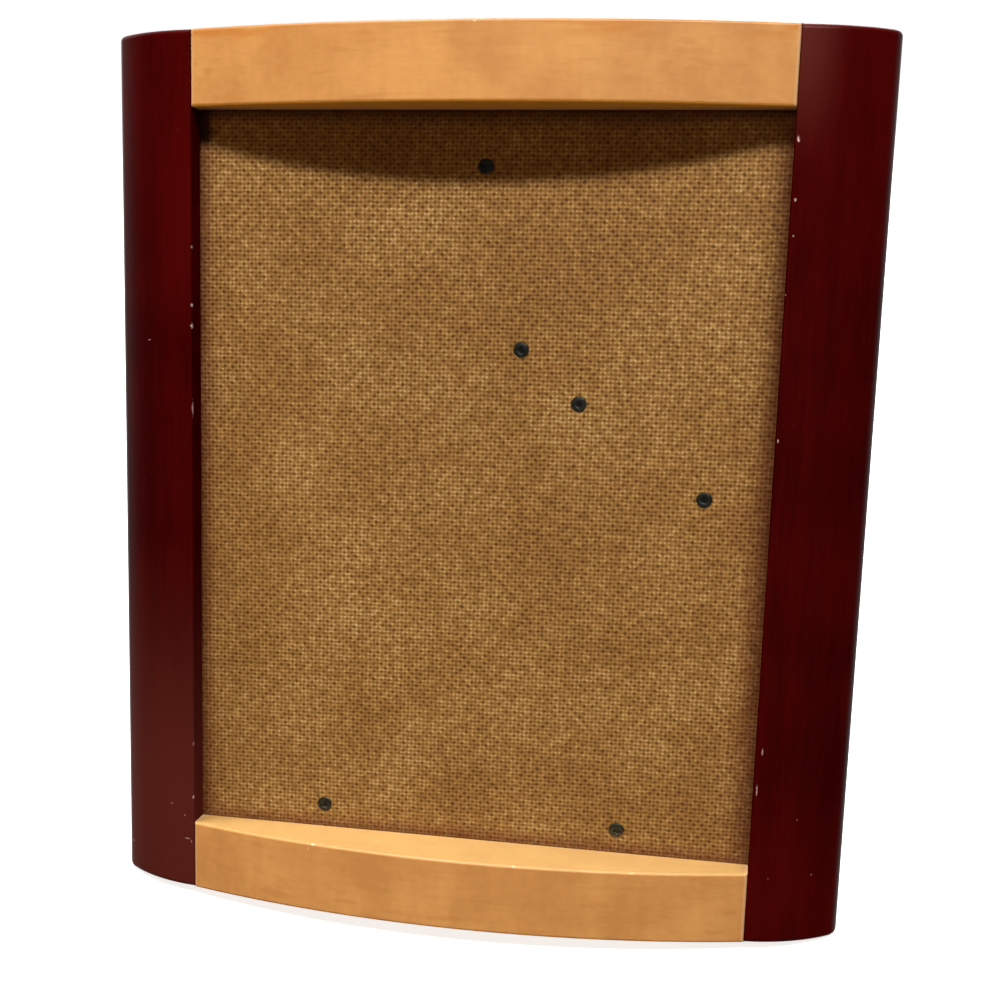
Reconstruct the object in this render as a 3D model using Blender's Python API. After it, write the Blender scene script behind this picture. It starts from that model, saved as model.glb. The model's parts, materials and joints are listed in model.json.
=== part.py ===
"""Bow-front wooden picture frame on its easel leg, for an 8 x 10 inch print.

Units are metres and +Z is up. The frame is modelled upright in the space of
the empty "lean", whose Y = 0 is the flat back, Z = 0 the bottom and -Y the
front, and the empty leans the whole frame back onto its open easel leg.
"""

import math

import bmesh
import bpy
from mathutils import Matrix, Vector

# Sight opening, print and glass
SIGHT_WIDTH = 0.1905
SIGHT_HEIGHT = 0.2413
LIP = 0.00635
GLASS_THICKNESS = 0.002
BOARD_THICKNESS = 0.003

# Wooden members
STILE_WIDTH = 0.03025
RAIL_HEIGHT = 0.024
LIP_THICKNESS = 0.0086
BOW_RISE = 0.0138
REBATE_DEPTH = 0.011
CROWN_RADIUS = 0.049
OUTER_ROUND = 0.0075
SIDE_FLAT = 0.0018
EASE = 0.001
DOWEL_RADIUS = 0.0025
DOWEL_LENGTH = 0.026
DOWEL_PITCH = 0.0068
DOWEL_INSET = 0.0055

# Fits
SEAT_GAP = 0.0003
GLAZING_PLAY = 0.0005
END_PLAY = 0.0006

# Rivets, as tubular rivets with a dished head
RIVET_RADIUS = 0.0014
RIVET_HEAD_RADIUS = 0.0024
RIVET_HEAD = 0.0007
RIVET_DISH_RADIUS = 0.0015
RIVET_DISH_DEPTH = 0.0004
SHEET = 0.0008

# Turn buttons and framing points
BUTTON_SPACING = 0.102
BUTTON_INSET = 0.0135
BUTTON_REACH = 0.0170
BUTTON_WIDTH = 0.010
SLOT_DEPTH = 0.0045
POINT_SPACING = 0.120
POINT_WIDTH = 0.009
POINT_BURIED = 0.006
POINT_REACH = 0.005

# Strap hangers
TOP_HANGER_INSET = 0.0235
SIDE_HANGER_INSET = 0.0274
STRAP_WIDTH = 0.009
STRAP_LENGTH = 0.010
STRAP_TAIL = 0.0045
RING_RADIUS = 0.0095
RING_CORNER = 0.0015
WIRE_RADIUS = 0.0008

# Easel hinge and leg
LEAN = math.radians(12.0)
LEG_OPEN = math.radians(27.0)
HINGE_SLOPE = math.radians(41.0)
HINGE_CENTRE_X = 0.0228
HINGE_CENTRE_ABOVE_MIDDLE = 0.0376
HINGE_LENGTH = 0.038
HINGE_RIVET_PITCH = 0.0257
HINGE_RIVET_SETBACK = 0.0065
HINGE_LEAF = 0.0120
PIN_RADIUS = 0.0008
PIN_HEAD_RADIUS = 0.0015
PIN_HEAD = 0.0007
CENTRE_KNUCKLE = 0.0184
HEEL_LENGTH = 0.0080
LEG_WIDTH = 0.044
LEG_THICKNESS = 0.003
LEG_LEAF = 0.0150
LEG_RIVET_PITCH = 0.022
LEG_CORNER = 0.004

# Facets
BOW_STEPS = 28
ROUND_STEPS = 7
EASE_STEPS = 3
CIRCLE_STEPS = 24
WIRE_STEPS = 10

# Derived sizes of the wooden members
FRAME_WIDTH = SIGHT_WIDTH + 2 * STILE_WIDTH
FRAME_HEIGHT = SIGHT_HEIGHT + 2 * RAIL_HEIGHT
MIDDLE_Z = FRAME_HEIGHT / 2
SIGHT_HALF = SIGHT_WIDTH / 2
BOW_RADIUS = (SIGHT_HALF ** 2 + BOW_RISE ** 2) / (2 * BOW_RISE)
DEPTH = REBATE_DEPTH + LIP_THICKNESS + BOW_RISE
GLASS_WIDTH = SIGHT_WIDTH + 2 * LIP
GLASS_HEIGHT = SIGHT_HEIGHT + 2 * LIP
POCKET_WIDTH = GLASS_WIDTH + 2 * GLAZING_PLAY
POCKET_HEIGHT = GLASS_HEIGHT + 2 * GLAZING_PLAY

# Derived depths, from the rebate's ledge to the back
GLASS_FRONT_Y = -REBATE_DEPTH + SEAT_GAP
BOARD_FRONT_Y = GLASS_FRONT_Y + GLASS_THICKNESS + SEAT_GAP
BOARD_BACK_Y = BOARD_FRONT_Y + BOARD_THICKNESS
METAL_Y = BOARD_BACK_Y + SEAT_GAP
METAL_BACK_Y = METAL_Y + SHEET
POCKET_BOTTOM_Z = MIDDLE_Z - POCKET_HEIGHT / 2
POCKET_TOP_Z = MIDDLE_Z + POCKET_HEIGHT / 2
BOARD_BOTTOM_Z = MIDDLE_Z - GLASS_HEIGHT / 2
BOARD_TOP_Z = MIDDLE_Z + GLASS_HEIGHT / 2

# Derived hinge sizes, with the pin's axis at the origin of its section
BORE_RADIUS = PIN_RADIUS + SEAT_GAP
KNUCKLE_RADIUS = BORE_RADIUS + SHEET + 0.0001
PIN_Y = METAL_Y + KNUCKLE_RADIUS
NOTCH = KNUCKLE_RADIUS + 0.0004
HEEL_TOP = -KNUCKLE_RADIUS + 2 * SHEET + SEAT_GAP
HEEL_UNDER = -KNUCKLE_RADIUS + SHEET + SEAT_GAP
LEG_FRONT = -KNUCKLE_RADIUS + SHEET + SEAT_GAP
LEG_START = NOTCH + SEAT_GAP
LOOP_BORE = WIRE_RADIUS + SEAT_GAP
LOOP_RADIUS = LOOP_BORE + SHEET + 0.0001
LOOP_Y = METAL_Y + LOOP_RADIUS


def clear_scene():
    """Remove every object of the scene."""
    for item in list(bpy.data.objects):
        bpy.data.objects.remove(item, do_unlink=True)


def make_material(name, colour, roughness, metallic=0.0):
    """Return a Principled material of one colour."""
    material = bpy.data.materials.new(name)
    material.use_nodes = True
    shader = material.node_tree.nodes["Principled BSDF"]
    shader.inputs["Base Color"].default_value = (*colour, 1.0)
    shader.inputs["Roughness"].default_value = roughness
    shader.inputs["Metallic"].default_value = metallic
    material.diffuse_color = (*colour, 1.0)
    return material


def add_object(name, shape, material=None, parent=None, location=(0, 0, 0), turn=None):
    """Turn a bmesh into a named object and place it under its parent."""
    bmesh.ops.recalc_face_normals(shape, faces=shape.faces)
    mesh = bpy.data.meshes.new(name)
    shape.to_mesh(mesh)
    shape.free()
    item = bpy.data.objects.new(name, mesh)
    bpy.context.collection.objects.link(item)
    if material:
        mesh.materials.append(material)
    item.parent = parent
    item.location = location
    if turn:
        item.rotation_euler = turn.to_euler()
    return item


def add_empty(name, parent=None, location=(0, 0, 0), turn=None):
    """Place an empty that carries other objects."""
    item = bpy.data.objects.new(name, None)
    item.empty_display_size = 0.01
    bpy.context.collection.objects.link(item)
    item.parent = parent
    item.location = location
    if turn:
        item.rotation_euler = turn.to_euler()
    return item


def add_cutter(name, shape, parent=None, location=(0, 0, 0), turn=None):
    """Add a solid that only shapes other pieces, hidden from the part."""
    item = add_object(name, shape, None, parent, location, turn)
    item.hide_render = True
    item.display_type = "WIRE"
    return item


def combine(item, other, operation):
    """Leave a Boolean modifier with another object on a piece."""
    modifier = item.modifiers.new(other.name, "BOOLEAN")
    modifier.operation = operation
    modifier.object = other


def ease_edges(item, width, steps=EASE_STEPS):
    """Round every sharp edge of a piece."""
    modifier = item.modifiers.new("ease", "BEVEL")
    modifier.width = width
    modifier.segments = steps
    modifier.limit_method = "ANGLE"
    modifier.angle_limit = math.radians(35)


def shade_round(item):
    """Shade a round piece smooth apart from its real edges."""
    for face in item.data.polygons:
        face.use_smooth = True
    item.data.set_sharp_from_angle(angle=math.radians(40))


def arc(centre, radius, start, end, steps):
    """Return the points of a circular arc, both ends included."""
    angles = [start + (end - start) * step / steps for step in range(steps + 1)]
    return [(centre[0] + radius * math.cos(a), centre[1] + radius * math.sin(a)) for a in angles]


def prism(outline, low, high, shape=None):
    """Extrude a closed XY outline from Z = low to Z = high."""
    shape = shape or bmesh.new()
    bottom = [shape.verts.new((x, y, low)) for x, y in outline]
    face = shape.faces.new(bottom)
    grown = bmesh.ops.extrude_face_region(shape, geom=[face])
    top = [vert for vert in grown["geom"] if isinstance(vert, bmesh.types.BMVert)]
    bmesh.ops.translate(shape, verts=top, vec=(0, 0, high - low))
    return shape


def box(size, centre, shape=None):
    """Add a box of a size about its centre."""
    shape = shape or bmesh.new()
    place = Matrix.Translation(centre) @ Matrix.Diagonal((*size, 1.0))
    bmesh.ops.create_cube(shape, size=1.0, matrix=place)
    return shape


def revolve(profile, steps=CIRCLE_STEPS):
    """Spin an (r, z) profile that starts and ends on the Z axis."""
    shape = bmesh.new()
    points = [shape.verts.new((r, 0, z)) for r, z in profile]
    edges = [shape.edges.new(pair) for pair in zip(points, points[1:])]
    bmesh.ops.spin(
        shape,
        geom=points + edges,
        cent=(0, 0, 0),
        axis=(0, 0, 1),
        angle=math.tau,
        steps=steps,
        use_merge=True,
    )
    bmesh.ops.remove_doubles(shape, verts=shape.verts, dist=1e-6)
    return shape


def gather(target, shape, place):
    """Move a shape to its place and add it to another one."""
    bmesh.ops.transform(shape, matrix=place, verts=shape.verts)
    mesh = bpy.data.meshes.new("gathered")
    shape.to_mesh(mesh)
    shape.free()
    target.from_mesh(mesh)
    bpy.data.meshes.remove(mesh)


def cylinder(radius, length, shape=None, place=Matrix()):
    """Add a plain cylinder about the Z axis of its place."""
    shape = shape or bmesh.new()
    bmesh.ops.create_cone(
        shape,
        cap_ends=True,
        segments=CIRCLE_STEPS,
        radius1=radius,
        radius2=radius,
        depth=length,
        matrix=place,
    )
    return shape


def bow_y(x):
    """Return the depth of the bowed front at a distance across the frame."""
    return BOW_RADIUS - DEPTH - math.sqrt(BOW_RADIUS ** 2 - x ** 2)


def bow_points(start, end, steps):
    """Return points along the bowed front between two places across it."""
    places = [start + (end - start) * step / steps for step in range(steps + 1)]
    return [(x, bow_y(x)) for x in places]


def crown_centre(start, side_round):
    """Return the centre of the stile's crowned front.

    The crown starts at a point and runs into the round whose centre is given.
    """
    across = side_round - start
    reach = CROWN_RADIUS - OUTER_ROUND
    along = (CROWN_RADIUS ** 2 - reach ** 2 + across.length_squared) / (2 * across.length)
    aside = math.sqrt(CROWN_RADIUS ** 2 - along ** 2)
    direction = across.normalized()
    return start + direction * along + direction.orthogonal() * aside


def stile_outline():
    """Return the right stile's section, crowned in front and rounded at its side."""
    half = FRAME_WIDTH / 2
    start = Vector((SIGHT_HALF, bow_y(SIGHT_HALF)))
    side_round = Vector((half - OUTER_ROUND, -SIDE_FLAT))
    crown = crown_centre(start, side_round)
    first = start - crown
    last = side_round - crown
    first_angle = math.atan2(first.y, first.x)
    last_angle = math.atan2(last.y, last.x)
    front = arc(crown, CROWN_RADIUS, first_angle, last_angle, ROUND_STEPS)
    corner = arc(side_round, OUTER_ROUND, last_angle, 0, ROUND_STEPS)
    return [(SIGHT_HALF, 0)] + front + corner[1:] + [(half, 0)]


def make_stiles(wood, lean):
    """Make the two full-height stiles."""
    outline = stile_outline()
    mirrored = [(-x, y) for x, y in reversed(outline)]
    stiles = []
    for name, section in (("left_stile", mirrored), ("right_stile", outline)):
        stile = add_object(name, prism(section, 0, FRAME_HEIGHT), wood, lean)
        ease_edges(stile, EASE)
        stiles.append(stile)
    return stiles


def make_rails(wood, lean):
    """Make the bowed rails that butt between the stiles."""
    end = SIGHT_HALF - SEAT_GAP
    outline = [(-end, 0)] + bow_points(-end, end, BOW_STEPS) + [(end, 0)]
    rails = []
    for name, low in (("top_rail", FRAME_HEIGHT - RAIL_HEIGHT), ("bottom_rail", 0)):
        rail = add_object(name, prism(outline, low, low + RAIL_HEIGHT), wood, lean)
        ease_edges(rail, EASE)
        rails.append(rail)
    return rails


def dowel_places():
    """Return the name, centre and side of each dowel."""
    depth = -(REBATE_DEPTH + LIP_THICKNESS) / 2
    places = []
    for side, sign in (("left", -1), ("right", 1)):
        x = sign * (SIGHT_HALF - SEAT_GAP / 2)
        for row, edge, up in (("bottom", 0, 1), ("top", FRAME_HEIGHT, -1)):
            for number in (1, 2):
                z = edge + up * (DOWEL_INSET + (number - 1) * DOWEL_PITCH)
                places.append((f"dowel_{row}_{side}_{number}", Vector((x, depth, z))))
    return places


def make_dowels(wood, lean):
    """Make the dowels of the butt joints."""
    along_x = Matrix.Rotation(math.pi / 2, 4, "Y")
    half = DOWEL_LENGTH / 2
    chamfer = DOWEL_RADIUS / 4
    profile = [
        (0, -half),
        (DOWEL_RADIUS - chamfer, -half),
        (DOWEL_RADIUS, -half + chamfer),
        (DOWEL_RADIUS, half - chamfer),
        (DOWEL_RADIUS - chamfer, half),
        (0, half),
    ]
    for name, centre in dowel_places():
        shade_round(add_object(name, revolve(profile), wood, lean, centre, along_x))


def button_slots(shape):
    """Add the slots that the turn buttons' tips swing into."""
    tip_drop = BUTTON_INSET + GLAZING_PLAY
    half_sweep = math.sqrt(BUTTON_REACH ** 2 - tip_drop ** 2) + 2 * SEAT_GAP
    size = (2 * half_sweep, SHEET + 2 * SEAT_GAP, 2 * SLOT_DEPTH)
    for sign in (-1, 1):
        box(size, (sign * BUTTON_SPACING / 2, METAL_Y + SHEET / 2, POCKET_BOTTOM_Z), shape)


def point_slots(shape):
    """Add the slots that the framing points are pressed into."""
    deep = POINT_BURIED + END_PLAY
    size = (POINT_WIDTH + 2 * SEAT_GAP, SHEET + 2 * SEAT_GAP, 2 * deep)
    for sign in (-1, 1):
        box(size, (sign * POINT_SPACING / 2, METAL_Y + SHEET / 2, POCKET_TOP_Z), shape)


def cut_members(lean, members):
    """Cut the rebate for glass and board, the dowel holes and the slots."""
    past_back = 0.005
    depth = REBATE_DEPTH + past_back
    shape = box((POCKET_WIDTH, depth, POCKET_HEIGHT), (0, past_back - depth / 2, MIDDLE_Z))
    along_x = Matrix.Rotation(math.pi / 2, 4, "Y")
    for _, centre in dowel_places():
        place = Matrix.Translation(centre) @ along_x
        cylinder(DOWEL_RADIUS + SEAT_GAP, DOWEL_LENGTH + 2 * END_PLAY, shape, place)
    slots = bmesh.new()
    button_slots(slots)
    point_slots(slots)
    cutter = add_cutter("rebate_and_dowel_holes", shape, lean)
    combine(cutter, add_cutter("slots", slots, lean), "UNION")
    for member in members:
        combine(member, cutter, "DIFFERENCE")


def make_points(steel, lean):
    """Make the two framing points that hold the board's top edge."""
    length = POINT_BURIED + POINT_REACH
    half = POINT_WIDTH / 2
    corner = POINT_WIDTH / 4
    outline = [
        (-half, 0),
        (-half, length - corner),
        (-half + corner, length),
        (half - corner, length),
        (half, length - corner),
        (half, 0),
    ]
    upright = Matrix.Rotation(math.pi / 2, 4, "X")
    for side, sign in (("left", -1), ("right", 1)):
        place = (sign * POINT_SPACING / 2, METAL_BACK_Y, POCKET_TOP_Z - POINT_REACH)
        add_object(f"framing_point_{side}", prism(outline, 0, SHEET), steel, lean, place, upright)


def rivet_profile(grip, front_head=True):
    """Return a rivet's profile, its front at Z = 0 and its back at +Z."""
    profile = [(0, 0), (RIVET_RADIUS, 0)]
    if front_head:
        profile = [
            (0, RIVET_DISH_DEPTH),
            (RIVET_DISH_RADIUS * 0.7, RIVET_DISH_DEPTH),
            (RIVET_DISH_RADIUS, 0.0001),
            ((RIVET_DISH_RADIUS + RIVET_HEAD_RADIUS) / 2, 0),
            (RIVET_HEAD_RADIUS, RIVET_HEAD * 0.5),
            (RIVET_HEAD_RADIUS, RIVET_HEAD),
            (RIVET_RADIUS, RIVET_HEAD),
        ]
    return profile + [
        (RIVET_RADIUS, grip),
        (RIVET_HEAD_RADIUS, grip),
        (RIVET_HEAD_RADIUS, grip + RIVET_HEAD * 0.5),
        (RIVET_HEAD_RADIUS * 0.7, grip + RIVET_HEAD),
        (0, grip + RIVET_HEAD),
    ]


def board_rivet_places():
    """Return each board rivet's name and place on the board."""
    slope = Vector((math.cos(HINGE_SLOPE), -math.sin(HINGE_SLOPE)))
    hinge = Vector((HINGE_CENTRE_X, MIDDLE_Z + HINGE_CENTRE_ABOVE_MIDDLE))
    low = BOARD_BOTTOM_Z + BUTTON_INSET
    return {
        "top_hanger_rivet": (0, BOARD_TOP_Z - TOP_HANGER_INSET),
        "side_hanger_rivet": (GLASS_WIDTH / 2 - SIDE_HANGER_INSET, MIDDLE_Z),
        "hinge_rivet_upper": tuple(hinge - slope * HINGE_RIVET_PITCH / 2),
        "hinge_rivet_lower": tuple(hinge + slope * HINGE_RIVET_PITCH / 2),
        "button_rivet_left": (-BUTTON_SPACING / 2, low),
        "button_rivet_right": (BUTTON_SPACING / 2, low),
    }


def make_board(hardboard, steel, lean):
    """Make the backing board, its rivets and the sunk holes that they sit in."""
    size = (GLASS_WIDTH, BOARD_THICKNESS, GLASS_HEIGHT)
    centre = (0, (BOARD_FRONT_Y + BOARD_BACK_Y) / 2, MIDDLE_Z)
    board = add_object("backing_board", box(size, centre), hardboard, lean)
    into_board = Matrix.Rotation(-math.pi / 2, 4, "X")
    grip = METAL_BACK_Y + SEAT_GAP - BOARD_FRONT_Y
    sunk = RIVET_HEAD + SEAT_GAP
    past = 0.002
    hole_profile = [
        (0, -past),
        (RIVET_HEAD_RADIUS + SEAT_GAP, -past),
        (RIVET_HEAD_RADIUS + SEAT_GAP, sunk),
        (RIVET_RADIUS + SEAT_GAP, sunk),
        (RIVET_RADIUS + SEAT_GAP, BOARD_THICKNESS + past),
        (0, BOARD_THICKNESS + past),
    ]
    holes = bmesh.new()
    for name, (x, z) in board_rivet_places().items():
        place = (x, BOARD_FRONT_Y, z)
        rivet = add_object(name, revolve(rivet_profile(grip)), steel, lean, place, into_board)
        shade_round(rivet)
        gather(holes, revolve(hole_profile), Matrix.Translation(place) @ into_board)
    combine(board, add_cutter("rivet_holes", holes, lean), "DIFFERENCE")


def make_glass(glass, lean):
    """Make the glass pane."""
    size = (GLASS_WIDTH, GLASS_THICKNESS, GLASS_HEIGHT)
    centre = (0, GLASS_FRONT_Y + GLASS_THICKNESS / 2, MIDDLE_Z)
    pane = add_object("glass_pane", box(size, centre), glass, lean)
    ease_edges(pane, 0.0002, 1)


def make_buttons(steel, lean):
    """Make the turn buttons on their rivets."""
    half = BUTTON_WIDTH / 2
    straight = BUTTON_REACH - half
    outline = arc((0, straight), half, 0, math.pi, CIRCLE_STEPS // 2)
    outline += arc((0, -straight), half, math.pi, math.tau, CIRCLE_STEPS // 2)
    upright = Matrix.Rotation(math.pi / 2, 4, "X")
    places = board_rivet_places()
    for side in ("left", "right"):
        x, z = places[f"button_rivet_{side}"]
        name = f"turn_button_{side}"
        place = (x, METAL_BACK_Y, z)
        button = add_object(name, prism(outline, 0, SHEET), steel, lean, place, upright)
        bore = cylinder(RIVET_RADIUS + SEAT_GAP, 4 * SHEET)
        combine(button, add_cutter(f"bore_{name}", bore, lean, place, upright), "DIFFERENCE")


def rolled_sheet(bore, tail, width, heel=None):
    """Extrude along X the section of a sheet strip rolled into an eye.

    The eye is round the X axis and the strip leaves it along +Y, its
    underside level with the eye's. A heel is a (length, under, top, angle) tab that
    leaves the eye on its other side, turned by the angle.
    """
    radius = bore + SHEET + 0.0001
    strip_top = -radius + SHEET
    start = math.asin(strip_top / radius)
    outline = [(tail, -radius), (tail, strip_top)]
    if heel:
        length, under, top, angle = heel
        turned = Matrix.Rotation(-angle, 2)
        upper = math.pi - math.asin(top / radius) - angle
        lower = math.pi - math.asin(under / radius) - angle
        outline += arc((0, 0), radius, start, upper, CIRCLE_STEPS // 2)
        outline += [tuple(turned @ Vector((-length, top))), tuple(turned @ Vector((-length, under)))]
        outline += arc((0, 0), radius, lower, 1.5 * math.pi, CIRCLE_STEPS // 3)
    else:
        outline += arc((0, 0), radius, start, 1.5 * math.pi, CIRCLE_STEPS)
    shape = prism(outline, -width / 2, width / 2)
    turn = Matrix(((0, 0, 1), (1, 0, 0), (0, 1, 0))).to_4x4()
    bmesh.ops.transform(shape, matrix=turn, verts=shape.verts)
    return shape


def trim_sheet(item, plan, bore, width):
    """Trim a rolled sheet to its plan outline and bore its eye."""
    high = 0.012
    combine(item, add_cutter(f"plan_{item.name}", prism(plan, -high, high), item), "INTERSECT")
    along_x = Matrix.Rotation(math.pi / 2, 4, "Y")
    eye = cylinder(bore, width + 0.004)
    combine(item, add_cutter(f"eye_{item.name}", eye, item, (0, 0, 0), along_x), "DIFFERENCE")


def drill(item, places, radius):
    """Drill holes along Z through a piece at (x, y) places of its own space."""
    holes = bmesh.new()
    for x, y in places:
        cylinder(radius, 0.02, holes, Matrix.Translation((x, y, 0)))
    combine(item, add_cutter(f"holes_{item.name}", holes, item), "DIFFERENCE")


def hinge_turn():
    """Return the hinge's axes: X along the pin, Y down the leg, Z to the back."""
    across = Vector((math.cos(HINGE_SLOPE), 0, -math.sin(HINGE_SLOPE)))
    down = Vector((-math.sin(HINGE_SLOPE), 0, -math.cos(HINGE_SLOPE)))
    back = across.cross(down)
    return Matrix((across, down, back)).transposed().to_4x4()


def hinge_place():
    """Return the middle of the hinge pin's axis."""
    centre = Vector((HINGE_CENTRE_X, PIN_Y, MIDDLE_Z + HINGE_CENTRE_ABOVE_MIDDLE))
    return centre + hinge_turn() @ Vector((0, HINGE_RIVET_SETBACK, 0))


def make_board_leaf(steel, hinge):
    """Make the hinge leaf that is riveted to the board, with its two knuckles."""
    half = HINGE_LENGTH / 2
    notch_half = CENTRE_KNUCKLE / 2 + SEAT_GAP
    shape = rolled_sheet(BORE_RADIUS, HINGE_LEAF, HINGE_LENGTH)
    bmesh.ops.rotate(shape, verts=shape.verts, matrix=Matrix.Scale(-1, 3, (0, 1, 0)))
    leaf = add_object("hinge_board_leaf", shape, steel, hinge)
    past = KNUCKLE_RADIUS + 0.0005
    corner = 0.003
    plan = [
        (-half, past),
        (-half, -HINGE_LEAF + corner),
        (-half + corner, -HINGE_LEAF - 0.0002),
        (half - corner, -HINGE_LEAF - 0.0002),
        (half, -HINGE_LEAF + corner),
        (half, past),
        (notch_half, past),
        (notch_half, -NOTCH),
        (-notch_half, -NOTCH),
        (-notch_half, past),
    ]
    trim_sheet(leaf, plan, BORE_RADIUS, HINGE_LENGTH)
    places = [(sign * HINGE_RIVET_PITCH / 2, -HINGE_RIVET_SETBACK) for sign in (-1, 1)]
    drill(leaf, places, RIVET_RADIUS + SEAT_GAP)


def leg_rivet_places():
    """Return the leg rivets' places in the leg's own space."""
    along = (LEG_START + LEG_LEAF) / 2
    return [(sign * LEG_RIVET_PITCH / 2, along) for sign in (-1, 1)]


def make_leg_leaf(steel, leg_axis):
    """Make the leaf on the leg, with the middle knuckle and its stop heel."""
    half = HINGE_LENGTH / 2
    tongue = CENTRE_KNUCKLE / 2
    heel = (HEEL_LENGTH, HEEL_UNDER, HEEL_TOP, LEG_OPEN)
    shape = rolled_sheet(BORE_RADIUS, LEG_LEAF, HINGE_LENGTH, heel)
    leaf = add_object("hinge_leg_leaf", shape, steel, leg_axis)
    corner = 0.003
    heel_half = tongue - corner / 2
    plan = [
        (-heel_half, -HEEL_LENGTH - 0.002),
        (heel_half, -HEEL_LENGTH - 0.002),
        (tongue, -NOTCH),
        (tongue, NOTCH),
        (half, NOTCH),
        (half, LEG_LEAF - corner),
        (half - corner, LEG_LEAF + 0.0002),
        (-half + corner, LEG_LEAF + 0.0002),
        (-half, LEG_LEAF - corner),
        (-half, NOTCH),
        (-tongue, NOTCH),
        (-tongue, -NOTCH),
    ]
    trim_sheet(leaf, plan, BORE_RADIUS, HINGE_LENGTH)
    drill(leaf, leg_rivet_places(), RIVET_RADIUS + SEAT_GAP)


def make_pin(steel, hinge):
    """Make the hinge pin with a head at each end."""
    half = HINGE_LENGTH / 2 + SEAT_GAP
    end = half + PIN_HEAD
    profile = [
        (0, -end),
        (PIN_HEAD_RADIUS * 0.7, -end),
        (PIN_HEAD_RADIUS, -half - PIN_HEAD / 2),
        (PIN_HEAD_RADIUS, -half),
        (PIN_RADIUS, -half),
        (PIN_RADIUS, half),
        (PIN_HEAD_RADIUS, half),
        (PIN_HEAD_RADIUS, half + PIN_HEAD / 2),
        (PIN_HEAD_RADIUS * 0.7, end),
        (0, end),
    ]
    along_x = Matrix.Rotation(math.pi / 2, 4, "Y")
    shade_round(add_object("hinge_pin", revolve(profile), steel, hinge, (0, 0, 0), along_x))


def foot_line(side_axis, side_edge):
    """Return the foot's cut as (along, per_across): Y = along + per_across * X.

    The cut lies on the table when the frame leans on the side that the axis
    points away from, and the leg is open.
    """
    turn = hinge_turn().to_3x3() @ Matrix.Rotation(LEG_OPEN, 3, "X")
    up = side_axis * math.cos(LEAN) - Vector((0, 1, 0)) * math.sin(LEAN)
    table = -EASE * math.sin(LEAN)
    height = (hinge_place() - side_edge).dot(up) + table
    height += (turn @ Vector((0, 0, LEG_FRONT))).dot(up)
    per_y = (turn @ Vector((0, 1, 0))).dot(up)
    per_x = (turn @ Vector((1, 0, 0))).dot(up)
    return -height / per_y, -per_x / per_y


def leg_outline():
    """Return the leg's outline, its foot cut for standing upright or on its side."""
    upright, upright_slope = foot_line(Vector((0, 0, 1)), Vector((0, 0, 0)))
    side_edge = Vector((-FRAME_WIDTH / 2, 0, 0))
    sideways, sideways_slope = foot_line(Vector((1, 0, 0)), side_edge)
    tip = (sideways - upright) / (upright_slope - sideways_slope)
    half = LEG_WIDTH / 2
    return [
        (-half, LEG_START + LEG_CORNER),
        (-half + LEG_CORNER, LEG_START),
        (half - LEG_CORNER, LEG_START),
        (half, LEG_START + LEG_CORNER),
        (half, upright + upright_slope * half),
        (tip, upright + upright_slope * tip),
        (-half, sideways - sideways_slope * half),
    ]


def footprint_shift():
    """Return the move along Y that centres the standing frame's depth on the origin."""
    lean = Matrix.Rotation(-LEAN, 3, "X")
    front = (lean @ Vector((0, -DEPTH, EASE))).y
    turn = hinge_turn().to_3x3() @ Matrix.Rotation(LEG_OPEN, 3, "X")
    rear_face = LEG_FRONT + LEG_THICKNESS
    corners = [hinge_place() + turn @ Vector((x, y, rear_face)) for x, y in leg_outline()]
    rear = max((lean @ corner).y for corner in corners)
    return -(front + rear) / 2


def make_leg(hardboard, steel, leg_axis):
    """Make the easel leg and the rivets that hold it to its leaf."""
    shape = prism(leg_outline(), LEG_FRONT, LEG_FRONT + LEG_THICKNESS)
    leg = add_object("easel_leg", shape, hardboard, leg_axis)
    drill(leg, leg_rivet_places(), RIVET_RADIUS + SEAT_GAP)
    grip = LEG_THICKNESS + SHEET + 2 * SEAT_GAP
    for number, (x, y) in enumerate(leg_rivet_places(), 1):
        place = (x, y, -KNUCKLE_RADIUS)
        profile = rivet_profile(grip, front_head=False)
        shade_round(add_object(f"leg_rivet_{number}", revolve(profile), steel, leg_axis, place))


def make_hinge(hardboard, steel, lean):
    """Make the slanted easel hinge and the leg that swings on it."""
    hinge = add_empty("hinge", lean, hinge_place(), hinge_turn())
    leg_axis = add_empty("leg_axis", hinge, (0, 0, 0), Matrix.Rotation(LEG_OPEN, 4, "X"))
    make_board_leaf(steel, hinge)
    make_pin(steel, hinge)
    make_leg_leaf(steel, leg_axis)
    make_leg(hardboard, steel, leg_axis)


def ring_path():
    """Return the D-ring's wire path in XY, its straight side on the X axis."""
    inner = RING_RADIUS - RING_CORNER
    path = arc((inner, RING_CORNER), RING_CORNER, -math.pi / 2, 0, 4)
    path += arc((0, RING_CORNER), RING_RADIUS, 0, math.pi, CIRCLE_STEPS)[1:]
    path += arc((-inner, RING_CORNER), RING_CORNER, math.pi, 1.5 * math.pi, 4)[1:]
    return [Vector((x, y, 0)) for x, y in path]


def ring_shape():
    """Sweep the round wire along the D-ring's closed path."""
    shape = bmesh.new()
    path = ring_path()
    loops = []
    for index, point in enumerate(path):
        ahead = path[(index + 1) % len(path)] - point
        behind = point - path[index - 1]
        along = (ahead.normalized() + behind.normalized()).normalized()
        outward = along.cross(Vector((0, 0, 1)))
        loop = []
        for step in range(WIRE_STEPS):
            angle = math.tau * step / WIRE_STEPS
            offset = outward * math.cos(angle) + Vector((0, 0, math.sin(angle)))
            loop.append(shape.verts.new(point + offset * WIRE_RADIUS))
        loops.append(loop)
    for index, loop in enumerate(loops):
        after = loops[(index + 1) % len(loops)]
        for step in range(WIRE_STEPS):
            other = (step + 1) % WIRE_STEPS
            shape.faces.new((loop[step], loop[other], after[other], after[step]))
    return shape


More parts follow.
